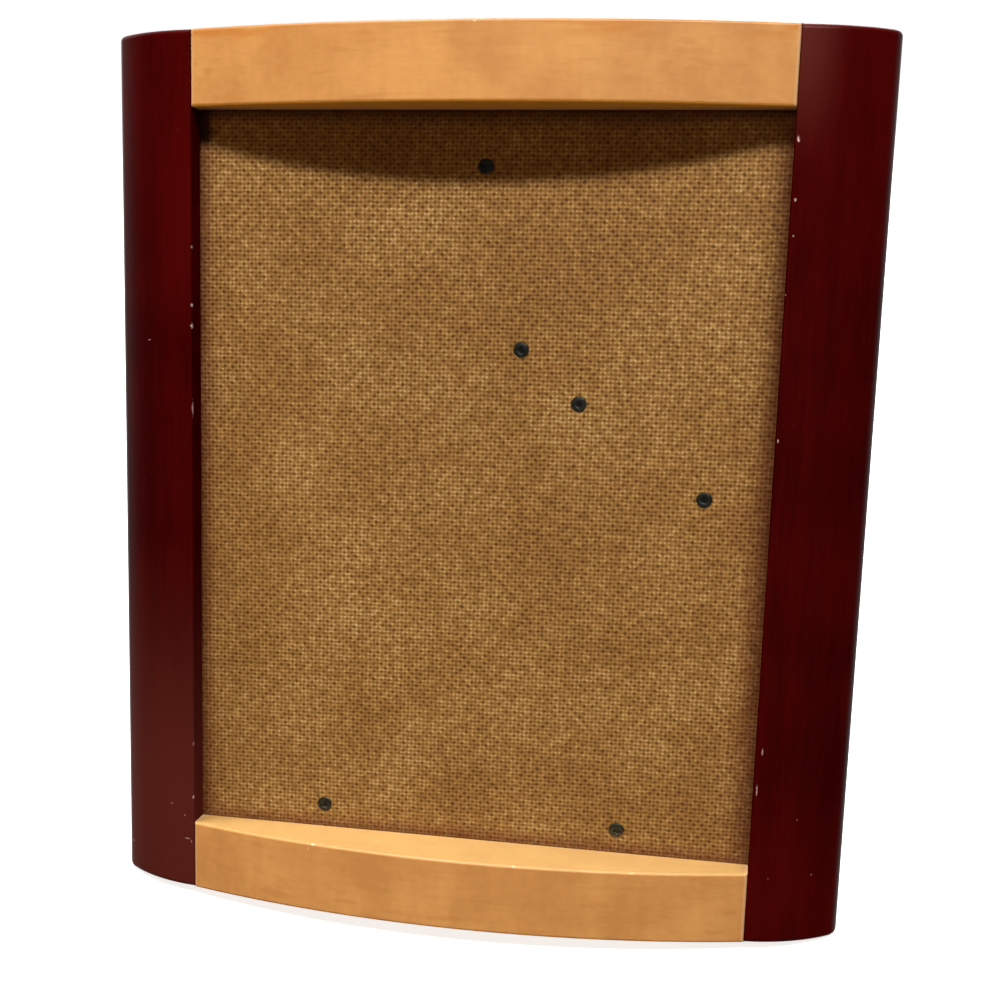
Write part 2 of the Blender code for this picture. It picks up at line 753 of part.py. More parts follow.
def make_hanger(name, steel, lean, toward_rivet):
    """Make one strap hanger: the riveted strap with its loop and its D-ring."""
    x, z = board_rivet_places()[f"{name}_rivet"]
    back = Vector((0, 1, 0))
    across = toward_rivet.cross(back)
    turn = Matrix((across, toward_rivet, back)).transposed().to_4x4()
    place = Vector((x, LOOP_Y, z)) - toward_rivet * STRAP_LENGTH
    carrier = add_empty(f"{name}_loop", lean, place, turn)
    tail = STRAP_LENGTH + STRAP_TAIL
    strap = add_object(f"{name}_strap", rolled_sheet(LOOP_BORE, tail, STRAP_WIDTH), steel, carrier)
    half = STRAP_WIDTH / 2
    past = LOOP_RADIUS + 0.0005
    plan = [(-half, -past), (half, -past)]
    plan += arc((0, STRAP_LENGTH), half, 0, math.pi, CIRCLE_STEPS // 2)
    trim_sheet(strap, plan, LOOP_BORE, STRAP_WIDTH)
    drill(strap, [(0, STRAP_LENGTH)], RIVET_RADIUS + SEAT_GAP)
    hang = Matrix.Rotation(LEAN, 4, "X")
    ring = add_object(f"{name}_ring", ring_shape(), steel, carrier, (0, 0, 0), hang)
    shade_round(ring)


def build():
    """Build the whole frame."""
    clear_scene()
    mahogany = make_material("mahogany_stain", (0.055, 0.008, 0.008), 0.35)
    maple = make_material("maple", (0.58, 0.32, 0.11), 0.4)
    birch = make_material("birch", (0.62, 0.45, 0.25), 0.7)
    hardboard = make_material("hardboard", (0.33, 0.18, 0.06), 0.75)
    glass = make_material("glass", (0.8, 0.85, 0.83), 0.05)
    steel = make_material("dark_nickel_steel", (0.12, 0.11, 0.10), 0.3, 1.0)
    zinc = make_material("zinc_plated_steel", (0.55, 0.54, 0.52), 0.35, 1.0)

    settle = Vector((0, footprint_shift(), -EASE * math.sin(LEAN)))
    lean = add_empty("lean", None, settle, Matrix.Rotation(-LEAN, 4, "X"))
    members = make_stiles(mahogany, lean) + make_rails(maple, lean)
    cut_members(lean, members)
    make_dowels(birch, lean)
    make_points(zinc, lean)
    make_glass(glass, lean)
    make_board(hardboard, steel, lean)
    make_buttons(zinc, lean)
    make_hinge(hardboard, zinc, lean)
    make_hanger("top_hanger", zinc, lean, Vector((0, 0, -1)))
    make_hanger("side_hanger", zinc, lean, Vector((-1, 0, 0)))


build()
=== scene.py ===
"""Dressed scene of the bow-front picture frame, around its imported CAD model.

Units are metres and +Z is up. The wooden frame leans back on its easel leg, so
its parts are modelled upright, in a space of their own whose Y = 0 is the flat
back and whose Z = 0 is the bottom, and their places are then put in the mesh.
"""

import json
import logging
import math
from contextlib import contextmanager
from dataclasses import dataclass
from enum import Enum
from typing import Iterable, Iterator

import bmesh
import bpy
from mathutils import Euler, Matrix, Vector


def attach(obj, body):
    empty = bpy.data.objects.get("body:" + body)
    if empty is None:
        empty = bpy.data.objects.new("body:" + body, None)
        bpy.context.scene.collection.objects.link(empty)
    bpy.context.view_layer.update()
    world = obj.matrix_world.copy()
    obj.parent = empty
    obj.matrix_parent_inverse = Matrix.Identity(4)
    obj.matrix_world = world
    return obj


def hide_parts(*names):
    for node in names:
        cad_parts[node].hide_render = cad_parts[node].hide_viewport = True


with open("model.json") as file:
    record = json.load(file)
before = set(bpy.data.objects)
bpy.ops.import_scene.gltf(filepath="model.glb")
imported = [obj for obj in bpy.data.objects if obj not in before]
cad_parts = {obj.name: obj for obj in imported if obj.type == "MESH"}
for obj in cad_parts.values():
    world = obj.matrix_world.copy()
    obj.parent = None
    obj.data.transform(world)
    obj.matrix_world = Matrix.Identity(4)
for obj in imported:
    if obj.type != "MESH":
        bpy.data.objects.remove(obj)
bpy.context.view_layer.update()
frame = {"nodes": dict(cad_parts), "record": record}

LOG = logging.getLogger("picture_frame")
MM = 0.001
MERGE = 5e-6  # corners of a CAD node's loose triangles that are this close are one
AIR = 0.0003  # what a solid keeps from the piece that it is seated in
WHITE = (1.0, 1.0, 1.0, 1.0)
NOISE_MIDDLE = (0.3, 0.7)  # the values that most of a noise lies between

Colour = tuple[float, float, float]
Point = tuple[float, float, float]
Piece = bpy.types.Object
Material = bpy.types.Material
Socket = bpy.types.NodeSocket
Value = Socket | float | Point


class Part(Enum):
    """A side or an end of the frame, which the nodes' names have a word for."""

    @property
    def word(self) -> str:
        """The word in the nodes' names."""
        return self.name.lower()


class Side(Part):
    """The side of the frame that a piece is on, as the sign of its X."""

    LEFT = -1
    RIGHT = 1


class Row(Part):
    """The end of the frame that a rail is at."""

    TOP = "top"
    BOTTOM = "bottom"


class Grain(Enum):
    """The way that a pattern is drawn out, as its scales along X, Y and Z."""

    UPRIGHT = (1.0, 1.0, 0.06)
    ACROSS = (0.06, 1.0, 1.0)
    CURL = (1.0, 0.3, 0.22)
    STREAKS = (0.09, 1.0, 1.0)
    STRANDS = (1.0, 1.0, 0.25)
    SCRATCHES = (1.0, 1.0, 0.05)


# The frame's own upright space


@dataclass(frozen=True)
class LeanSpace:
    """The upright space of the frame, which leans back in the world."""

    to_world: Matrix

    @classmethod
    def measured(cls) -> "LeanSpace":
        """Find the space from the back's direction and the left stile's ends.

        Returns:
            The space whose Y = 0 is the stile's back and Z = 0 its bottom.
        """
        mounts = {mount["name"]: mount for mount in frame["record"]["mounts"]}
        across = Vector((1, 0, 0))
        back = Vector(mounts["right_stile_back"]["axis"]).normalized()
        up = across.cross(back)
        points = [vertex.co for vertex in frame["nodes"]["left_stile"].data.vertices]
        origin = back * max(point.dot(back) for point in points)
        origin += up * min(point.dot(up) for point in points)
        to_world = Matrix((across, back, up)).transposed().to_4x4()
        to_world.translation = origin
        return cls(to_world)

    def direction(self, x: float, y: float, z: float) -> Vector:
        """Turn a direction of this space into the world's."""
        return self.to_world.to_3x3() @ Vector((x, y, z))

    def box(self, node: str) -> tuple[Vector, Vector]:
        """Measure a CAD node in this space.

        Args:
            node: The node's name.

        Returns:
            Its lowest and highest corners.
        """
        inverse = self.to_world.inverted()
        points = [inverse @ vertex.co for vertex in frame["nodes"][node].data.vertices]
        low = Vector([min(point[axis] for point in points) for axis in range(3)])
        high = Vector([max(point[axis] for point in points) for axis in range(3)])
        return low, high


# Modelling by hand


def deselect_all() -> None:
    """Leave nothing selected."""
    bpy.ops.object.select_all(action="DESELECT")


def pick(item: Piece) -> None:
    """Make one piece the only selected one and the active one.

    Args:
        item: The piece.
    """
    deselect_all()
    item.select_set(True)
    bpy.context.view_layer.objects.active = item


@contextmanager
def editing(item: Piece) -> Iterator[None]:
    """Edit one piece's mesh, with all of it selected at first.

    Args:
        item: The piece to edit.

    Yields:
        Nothing, while the mesh is in edit mode.
    """
    pick(item)
    bpy.ops.object.mode_set(mode="EDIT")
    bpy.ops.mesh.select_mode(type="EDGE")
    bpy.ops.mesh.select_all(action="SELECT")
    try:
        yield
    finally:
        bpy.ops.object.mode_set(mode="OBJECT")


def near(value: float, wanted: float | None) -> bool:
    """Say whether a length is the wanted one, to 0.01 mm, or none is wanted."""
    return wanted is None or abs(value - wanted) < MM / 100


def select_edges(item: Piece, x: float | None = None, z: float | None = None) -> None:
    """Select the edges that lie in an upright plane, in a level one or in both.

    Args:
        item: The piece being edited.
        x: The upright plane's X.
        z: The level plane's Z.
    """
    bpy.ops.mesh.select_all(action="DESELECT")
    shape = bmesh.from_edit_mesh(item.data)
    for edge in shape.edges:
        edge.select_set(all(near(end.co.x, x) and near(end.co.z, z) for end in edge.verts))
    bmesh.update_edit_mesh(item.data)


def extrude(move: Point) -> None:
    """Extrude what is selected by a move."""
    bpy.ops.mesh.extrude_region_move(TRANSFORM_OT_translate={"value": move})


def close_mesh() -> None:
    """Merge the edited mesh's doubles and turn its faces outwards."""
    bpy.ops.mesh.select_all(action="SELECT")
    bpy.ops.mesh.remove_doubles(threshold=MERGE)
    bpy.ops.mesh.normals_make_consistent(inside=False)


def added(name: str, size: Point | Vector = (1, 1, 1)) -> Piece:
    """Take over the primitive that was just added.

    Args:
        name: Its name.
        size: The size to stretch it to.

    Returns:
        The piece, with its size and place in its mesh.
    """
    item = bpy.context.object
    item.name = name
    item.scale = size
    bpy.ops.object.transform_apply(location=True, rotation=True, scale=True)
    return item


def add_box(name: str, low: Vector, high: Vector) -> Piece:
    """Add a box between two corners.

    Args:
        name: Its name.
        low: The lowest corner.
        high: The highest corner.

    Returns:
        The box.
    """
    deselect_all()
    bpy.ops.mesh.primitive_cube_add(size=1, location=(low + high) / 2)
    return added(name, high - low)


def copied(node: str, ending: str) -> Piece:
    """Copy a CAD node's solid.

    Args:
        node: The node's name.
        ending: What the copy's name adds to it.

    Returns:
        The bare copy, where the node is.
    """
    item = bpy.data.objects.new(f"{node}_{ending}", frame["nodes"][node].data.copy())
    bpy.context.collection.objects.link(item)
    item.data.materials.clear()
    return item


def apply_modifier(item: Piece, kind: str, **settings: object) -> None:
    """Finish a piece with one applied modifier.

    Args:
        item: The piece.
        kind: The modifier's type.
        **settings: The modifier's values.
    """
    pick(item)
    modifier = item.modifiers.new(kind.lower(), kind)
    for key, value in settings.items():
        setattr(modifier, key, value)
    bpy.ops.object.modifier_apply(modifier=modifier.name)


def cut_away(item: Piece, cutter: Piece) -> None:
    """Cut one solid out of another and delete the cutter."""
    apply_modifier(item, "BOOLEAN", operation="DIFFERENCE", solver="EXACT", object=cutter)
    bpy.data.objects.remove(cutter, do_unlink=True)


def shade_round(item: Piece, degrees: float = 35.0) -> None:
    """Shade a piece smooth up to an angle, with its large faces kept flat.

    Args:
        item: The piece.
        degrees: The angle from which an edge shows.
    """
    pick(item)
    bpy.ops.object.shade_smooth_by_angle(angle=math.radians(degrees))
    apply_modifier(item, "WEIGHTED_NORMAL", keep_sharp=True, weight=100)


def turned(name: str, profile: list[tuple[float, float]], steps: int) -> Piece:
    """Turn a profile about Z, as on a lathe.

    Args:
        name: The new piece's name.
        profile: The (radius, height) points, which start and end on the axis.
        steps: The number of steps round the axis.

    Returns:
        The closed turned piece, about the origin.
    """
    deselect_all()
    bpy.ops.mesh.primitive_plane_add(size=MM)
    item = added(name)
    with editing(item):
        bpy.ops.mesh.select_mode(type="VERT")
        bpy.ops.mesh.merge(type="CENTER")
        bpy.ops.transform.translate(value=(profile[0][0], 0, profile[0][1]))
        for before, after in zip(profile, profile[1:]):
            extrude((after[0] - before[0], 0, after[1] - before[1]))
        bpy.ops.mesh.select_all(action="SELECT")
        bpy.ops.mesh.spin(steps=steps, angle=math.tau, center=(0, 0, 0), axis=(0, 0, 1))
        close_mesh()
    return item


def arc(radius: float, steps: int) -> list[tuple[float, float]]:
    """List the (x, y) points of a quarter circle about the origin, from X to Y."""
    angles = [math.radians(90 * step / steps) for step in range(steps + 1)]
    return [(radius * math.cos(angle), radius * math.sin(angle)) for angle in angles]


# Shader trees


@dataclass(frozen=True)
class Fade:
    """A value that runs smoothly from first to last over a stretch."""

    start: float
    end: float
    first: float = 0.0
    last: float = 1.0


def opaque(colour: Value) -> Value:
    """Give a plain colour its alpha, and leave a socket as it is."""
    return colour if isinstance(colour, Socket) else (*colour, 1.0)


class ShaderTree:
    """A node tree, written in one short call per node."""

    def __init__(self, tree: bpy.types.NodeTree) -> None:
        """Take over a tree and empty it."""
        self.tree = tree
        self.tree.nodes.clear()

    def node(self, kind: str, inputs: dict[str | int, Value], **settings: object) -> bpy.types.Node:
        """Add a node.

        Args:
            kind: The node's type, without its ShaderNode prefix.
            inputs: A socket or a constant for each input, by name or number.
            **settings: The node's own values.

        Returns:
            The new node.
        """
        item = self.tree.nodes.new(f"ShaderNode{kind}")
        for key, value in settings.items():
            setattr(item, key, value)
        for key, value in inputs.items():
            if isinstance(value, Socket):
                self.tree.links.new(value, item.inputs[key])
            else:
                item.inputs[key].default_value = value
        return item

    def math(self, operation: str, *values: Value) -> Socket:
        """Add a Math node and return its result."""
        return self.node("Math", dict(enumerate(values)), operation=operation).outputs[0]

    def times(self, first: Value, second: Value) -> Socket:
        """Multiply two values."""
        return self.math("MULTIPLY", first, second)

    def minus(self, first: Value, second: Value) -> Socket:
        """Subtract the second value from the first."""
        return self.math("SUBTRACT", first, second)

    def total(self, *values: Value) -> Socket:
        """Add up several values.

        Args:
            *values: The values, two or more.

        Returns:
            Their sum.
        """
        result = values[0]
        for value in values[1:]:
            result = self.math("ADD", result, value)
        return result

    def spread(self, value: Value, start: float, end: float, first: float = 0.0,
               last: float = 1.0) -> Socket:
        """Map a stretch of a value smoothly to another, clamped to its ends."""
        inputs = {
            "Value": value, "From Min": start, "From Max": end, "To Min": first, "To Max": last
        }
        return self.node("MapRange", inputs, interpolation_type="SMOOTHSTEP").outputs[0]

    def fade(self, value: Value, fade: Fade) -> Socket:
        """Run a fade along a value."""
        return self.spread(value, fade.start, fade.end, fade.first, fade.last)

    def vary(self, noise: Value, first: float, last: float) -> Socket:
        """Vary a value by a noise, from first where it is low to last where it is high."""
        return self.spread(noise, *NOISE_MIDDLE, first, last)

    def parts(self, vector: Value) -> tuple[Socket, Socket, Socket]:
        """Split a vector into its X, Y and Z."""
        return tuple(self.node("SeparateXYZ", {0: vector}).outputs)

    def vector_math(self, operation: str, *vectors: Value) -> bpy.types.Node:
        """Add a Vector Math node."""
        return self.node("VectorMath", dict(enumerate(vectors)), operation=operation)

    def length(self, vector: Value) -> Socket:
        """Measure a vector."""
        return self.vector_math("LENGTH", vector).outputs["Value"]

    def mix(self, share: Value, first: Value, second: Value) -> Socket:
        """Mix a share of a second colour into the first."""
        inputs = {0: share, 6: opaque(first), 7: opaque(second)}
        return self.node("Mix", inputs, data_type="RGBA").outputs[2]

    def mix_values(self, share: Value, first: Value, second: Value) -> Socket:
        """Mix a share of a second value into the first."""
        return self.node("Mix", {0: share, 2: first, 3: second}).outputs[0]


class Shading(ShaderTree):
    """The node tree of one material."""

    def __init__(self, name: str) -> None:
        """Start an empty material.

        Args:
            name: The material's name.
        """
        self.material = bpy.data.materials.new(name)
        self.material.use_nodes = True
        super().__init__(self.material.node_tree)

    def noise(self, vector: Value, spacing: float, detail: float = 2.0,
              roughness: float = 0.5) -> Socket:
        """Add a noise of about one bump per spacing, in metres."""
        inputs = {"Vector": vector, "Scale": 1 / spacing, "Detail": detail, "Roughness": roughness}
        return self.node("TexNoise", inputs).outputs["Fac"]

    def drawn_out(self, vector: Value, grain: Grain) -> Socket:
        """Draw a pattern's coordinates out along its grain."""
        return self.node("Mapping", {"Vector": vector, "Scale": grain.value}).outputs[0]

    def object_place(self) -> Socket:
        """Read the point's place in its own object."""
        return self.node("TexCoord", {}).outputs["Object"]

    def place_in(self, turn: Euler, origin: Vector) -> Socket:
        """Read the point's place in axes that have a turn and an origin in its object."""
        inputs = {"Vector": self.object_place(), "Location": origin, "Rotation": turn}
        return self.node("Mapping", inputs, vector_type="TEXTURE").outputs[0]

    def upright_place(self, space: LeanSpace) -> Socket:
        """Read the point's place in the frame's upright space."""
        return self.place_in(space.to_world.to_euler(), space.to_world.translation)

    def faces_along(self, direction: Vector) -> Socket:
        """Find the faces that point along a direction of the object.

        Args:
            direction: The direction.

        Returns:
            A mask that is 1 on them, else 0.
        """
        normal = self.node("TexCoord", {}).outputs["Normal"]
        along = self.vector_math("DOT_PRODUCT", normal, tuple(direction)).outputs["Value"]
        return self.math("GREATER_THAN", along, 0.5)

    def specks(self, vector: Value, spacing: float, size: float, share: float) -> Socket:
        """Scatter small spots.

        Args:
            vector: The pattern's coordinates.
            spacing: The cells' size in metres.
            size: A spot's radius in metres.
            share: The share of the cells that have a spot.

        Returns:
            A mask that is 1 on a spot.
        """
        cells = self.node("TexVoronoi", {"Vector": vector, "Scale": 1 / spacing})
        spot = self.spread(cells.outputs["Distance"], size / spacing, 0.5 * size / spacing)
        chosen = self.node("SeparateColor", {0: cells.outputs["Color"]}).outputs[0]
        return self.times(spot, self.math("LESS_THAN", chosen, share))

    def bump(self, height: Value, distance: float) -> Socket:
        """Add a bump of a height from 0 to 1, times a distance in metres."""
        inputs = {"Height": height, "Distance": distance, "Strength": 1.0}
        return self.node("Bump", inputs).outputs[0]

    def surface(self, inputs: dict[str, Value]) -> Material:
        """Finish the material with one Principled shader.

        Args:
            inputs: The shader's own values and sockets.

        Returns:
            The material.
        """
        shader = self.node("BsdfPrincipled", inputs)
        self.node("OutputMaterial", {"Surface": shader.outputs[0]})
        return self.material


@dataclass(frozen=True)
class Chip:
    """A place where an edge or face has lost its finish, in millimetres."""

    place: Point
    size: Point
    depth: float = 1.0
    outer_edge: float = 1.1
    inner_edge: float = 0.8

    def mask(self, shading: Shading, place: Socket, ragged: Socket) -> Socket:
        """Build the chip's mask.

        Args:
            shading: The material's tree.
            place: The point's place in the frame's upright space.
            ragged: What the chip's edge wanders by, as a share of its size.

        Returns:
            A mask that is the chip's depth inside it, and 0 outside.
        """
        centre = tuple(value * MM for value in self.place)
        shrink = tuple(1 / (value * MM) for value in self.size)
        offset = shading.vector_math("SUBTRACT", place, centre).outputs["Vector"]
        offset = shading.vector_math("MULTIPLY", offset, shrink).outputs["Vector"]
        away = shading.total(shading.length(offset), ragged)
        return shading.spread(away, self.outer_edge, self.inner_edge, 0.0, self.depth)


def chip_mask(shading: Shading, place: Socket, chips: Iterable[Chip]) -> Value:
    """Build a ragged mask of all the chips.

    Args:
        shading: The material's tree.
        place: The point's place in the frame's upright space.
        chips: The chips.

    Returns:
        A mask that is up to 1 inside a chip, and less in a shallow one.
    """
    ragged = shading.vary(shading.noise(place, 0.4 * MM, detail=3.0), -0.5, 0.5)
    mask: Value = 0.0
    for chip in chips:
        mask = shading.math("MAXIMUM", mask, chip.mask(shading, place, ragged))
    return mask


# Finishes


@dataclass(frozen=True)
class StainedMahogany:
    """Dark red stain under satin lacquer, chipped to the bare wood in places.

    The wood is darkest at one height and lighter above and below it. A painted
    reflection, a greyish sheen, lies on the left stile's lower end and on the right
    stile beside its top joint.
    """

    dark: Colour = (0.034, 0.0004, 0.0005)
    light: Colour = (0.064, 0.0012, 0.0011)
    bare: Colour = (0.60, 0.42, 0.38)
    dust: Colour = (0.20, 0.08, 0.06)
    dust_share: float = 0.5
    # Painted reflection: a greyish sheen mixed into the stiles' colour in two places.
    veil: Colour = (0.105, 0.021, 0.016)
    low_veil: Fade = Fade(0.13, 0.03, 0.0, 0.68)
    joint_veil: Fade = Fade(0.111, 0.097, 0.0, 0.75)
    top_veil: Fade = Fade(0.245, 0.287)
    darkest_height: float = 0.125
    paling: Fade = Fade(0.03, 0.14, 0.0, 0.5)
    lacquered_from: float = 0.0957
    gloss: Fade = Fade(0.110, 0.120, 0.07, 0.03)
    chip_roughness: float = 0.8
    relief: float = 0.06 * MM
    pore_depth: float = 0.25

    def material(self, space: LeanSpace, chips: Iterable[Chip]) -> Material:
        """Make the material.

        Args:
            space: The frame's upright space.
            chips: The places where the finish is chipped.

        Returns:
            The material.
        """
        shading = Shading("stained_mahogany")
        place = shading.upright_place(space)
        across, _, up = shading.parts(place)
        along = shading.drawn_out(place, Grain.UPRIGHT)
        fibres = shading.noise(along, 0.9 * MM, detail=4.0, roughness=0.6)
        figure = shading.noise(along, 9 * MM)
        pores = shading.noise(along, 0.35 * MM)
        cloud = shading.noise(place, 45 * MM)
        from_darkest = shading.math("ABSOLUTE", shading.minus(up, self.darkest_height))
        tone = shading.total(
            shading.vary(fibres, -0.22, 0.22),
            shading.vary(figure, -0.2, 0.2),
            shading.vary(cloud, 0.0, 0.5),
            shading.fade(from_darkest, self.paling),
        )
        colour = shading.mix(tone, self.dark, self.light)
        # Mix in the painted reflection, a greyish sheen.
        colour = shading.mix(self.reflection_share(shading, across, up), colour, self.veil)
        specks = shading.specks(place, spacing=5 * MM, size=0.22 * MM, share=0.16)
        colour = shading.mix(shading.times(specks, self.dust_share), colour, self.dust)
        chipped = chip_mask(shading, place, chips)
        from_middle = shading.math("ABSOLUTE", across)
        lacquered = shading.math("GREATER_THAN", from_middle, self.lacquered_from)
        rough = shading.times(chipped, self.chip_roughness)
        rough = shading.math("MAXIMUM", shading.vary(cloud, 0.26, 0.34), rough)
        height = shading.minus(shading.times(pores, self.pore_depth), chipped)
        return shading.surface({
            "Base Color": shading.mix(chipped, colour, self.bare),
            "Roughness": rough,
            "Specular IOR Level": shading.times(lacquered, shading.fade(across, self.gloss)),
            "Normal": shading.bump(height, self.relief),
        })

    def reflection_share(self, shading: Shading, across: Socket, up: Socket) -> Socket:
        """Build the share of the painted reflection, a greyish sheen.

        Args:
            shading: The material's tree.
            across: The point's X in the frame's upright space.
            up: Its height there.

        Returns:
            The painted reflection's share, low on the left stile and by the right one's top joint.
        """
        left = shading.math("LESS_THAN", across, 0.0)
        low_left = shading.times(left, shading.fade(up, self.low_veil))
        by_joint = shading.times(shading.fade(across, self.joint_veil), shading.minus(1.0, left))
        high_right = shading.times(by_joint, shading.fade(up, self.top_veil))
        return shading.math("MAXIMUM", low_left, high_right)


@dataclass(frozen=True)
class HoneyMaple:
    """Honey coloured maple with a faint curl, under satin lacquer.

    An amber streak runs along the top rail. The rails are pale at their ends, from
    wear and a painted highlight on the rounded end. Painted light recolours their
    upper faces, a highlight on the bottom rail and a shade on the top rail, and the
    faces that look down, golden towards the front and mauve towards the glass.
    """

    pale: Colour = (0.680, 0.342, 0.112)
    deep: Colour = (0.560, 0.256, 0.076)
    amber: Colour = (0.56, 0.200, 0.032)
    streak: Fade = Fade(0.2825, 0.2875, 0.0, 0.6)
    bare: Colour = (0.86, 0.64, 0.38)
    fleck: Colour = (0.42, 0.17, 0.05)
    fleck_share: float = 0.35
    # Painted light on upward faces: a painted highlight on the bottom rail, a painted shade on the
    # top rail.
    painted_ledge_light: Colour = (0.60, 0.385, 0.13)
    ledge_light_share: float = 0.5
    painted_top_shade: Colour = (0.40, 0.19, 0.07)
    top_shade_share: float = 0.9
    # Painted light on the faces that look down: golden towards the front, mauve towards the glass.
    golden: Colour = (0.85, 0.42, 0.06)
    painted_under_back: Colour = (0.60, 0.32, 0.23)
    under_light_depth: Fade = Fade(-0.0165, -0.0155)
    # Pale line at the rails' ends: lacquer wear plus a painted highlight on the rounded end.
    worn_and_lit: Colour = (0.80, 0.50, 0.27)
    worn_and_lit_end: Fade = Fade(0.0940, 0.0948, 0.0, 0.75)
    relief: float = 0.06 * MM
    fibre_depth: float = 0.3

    def material(self, space: LeanSpace, chips: Iterable[Chip]) -> Material:
        """Make the material.

        Args:
            space: The frame's upright space.
            chips: The places where the finish is chipped.

        Returns:
            The material.
        """
        shading = Shading("honey_maple")
        place = shading.upright_place(space)
        across, deep, up = shading.parts(place)
        along = shading.drawn_out(place, Grain.ACROSS)
        fibres = shading.noise(along, 1.0 * MM, detail=4.0, roughness=0.6)
        flecks = shading.noise(along, 0.45 * MM)
        curl = shading.noise(shading.drawn_out(place, Grain.CURL), 6 * MM)
        streaks = shading.noise(shading.drawn_out(place, Grain.STREAKS), 3.2 * MM, detail=3.0)
        cloud = shading.noise(place, 22 * MM, detail=3.0)
        mottle = shading.noise(place, 3.0 * MM, detail=3.0)
        tone = shading.total(
            shading.vary(fibres, -0.11, 0.11),
            shading.vary(curl, -0.15, 0.15),
            shading.spread(streaks, 0.55, 0.72, 0.0, 0.45),
            shading.vary(mottle, -0.12, 0.12),
            shading.vary(cloud, 0.1, 0.9),
        )
        colour = shading.mix(tone, self.pale, self.deep)
        streaky = shading.spread(shading.noise(along, 5 * MM), 0.42, 0.62)
        streak = shading.times(shading.fade(up, self.streak), streaky)
        colour = shading.mix(streak, colour, self.amber)
        # Painted light on the faces that look up: highlight on the bottom rail, shade on the top
        # rail.
        at_top = shading.math("GREATER_THAN", up, self.streak.start)
        painted_upper = shading.mix(at_top, self.painted_ledge_light, self.painted_top_shade)
        more = shading.times(at_top, self.top_shade_share - self.ledge_light_share)
        painted_upper_share = shading.times(
            shading.faces_along(space.direction(0, 0, 1)), shading.total(self.ledge_light_share, more)
        )
        colour = shading.mix(painted_upper_share, colour, painted_upper)
        # Painted light on the faces that look down.
        painted_under = shading.mix(shading.fade(deep, self.under_light_depth), self.golden, self.painted_under_back)
        colour = shading.mix(shading.faces_along(space.direction(0, 0, -1)), colour, painted_under)
        # Pale end line: wear plus a painted highlight.
        at_end = shading.fade(shading.math("ABSOLUTE", across), self.worn_and_lit_end)
        colour = shading.mix(at_end, colour, self.worn_and_lit)
        flecked = shading.spread(flecks, 0.66, 0.8, 0.0, self.fleck_share)
        colour = shading.mix(flecked, colour, self.fleck)
        chipped = chip_mask(shading, place, chips)
        height = shading.minus(shading.times(fibres, self.fibre_depth), chipped)
        return shading.surface({
            "Base Color": shading.mix(chipped, colour, self.bare),
            "Roughness": shading.vary(cloud, 0.36, 0.46),
            "Specular IOR Level": 0.35,
            "Normal": shading.bump(height, self.relief),
        })


@dataclass(frozen=True)
class Opening:
    """The opening of the frame, in its upright space."""

    half_width: float
    bottom: float
    top: float


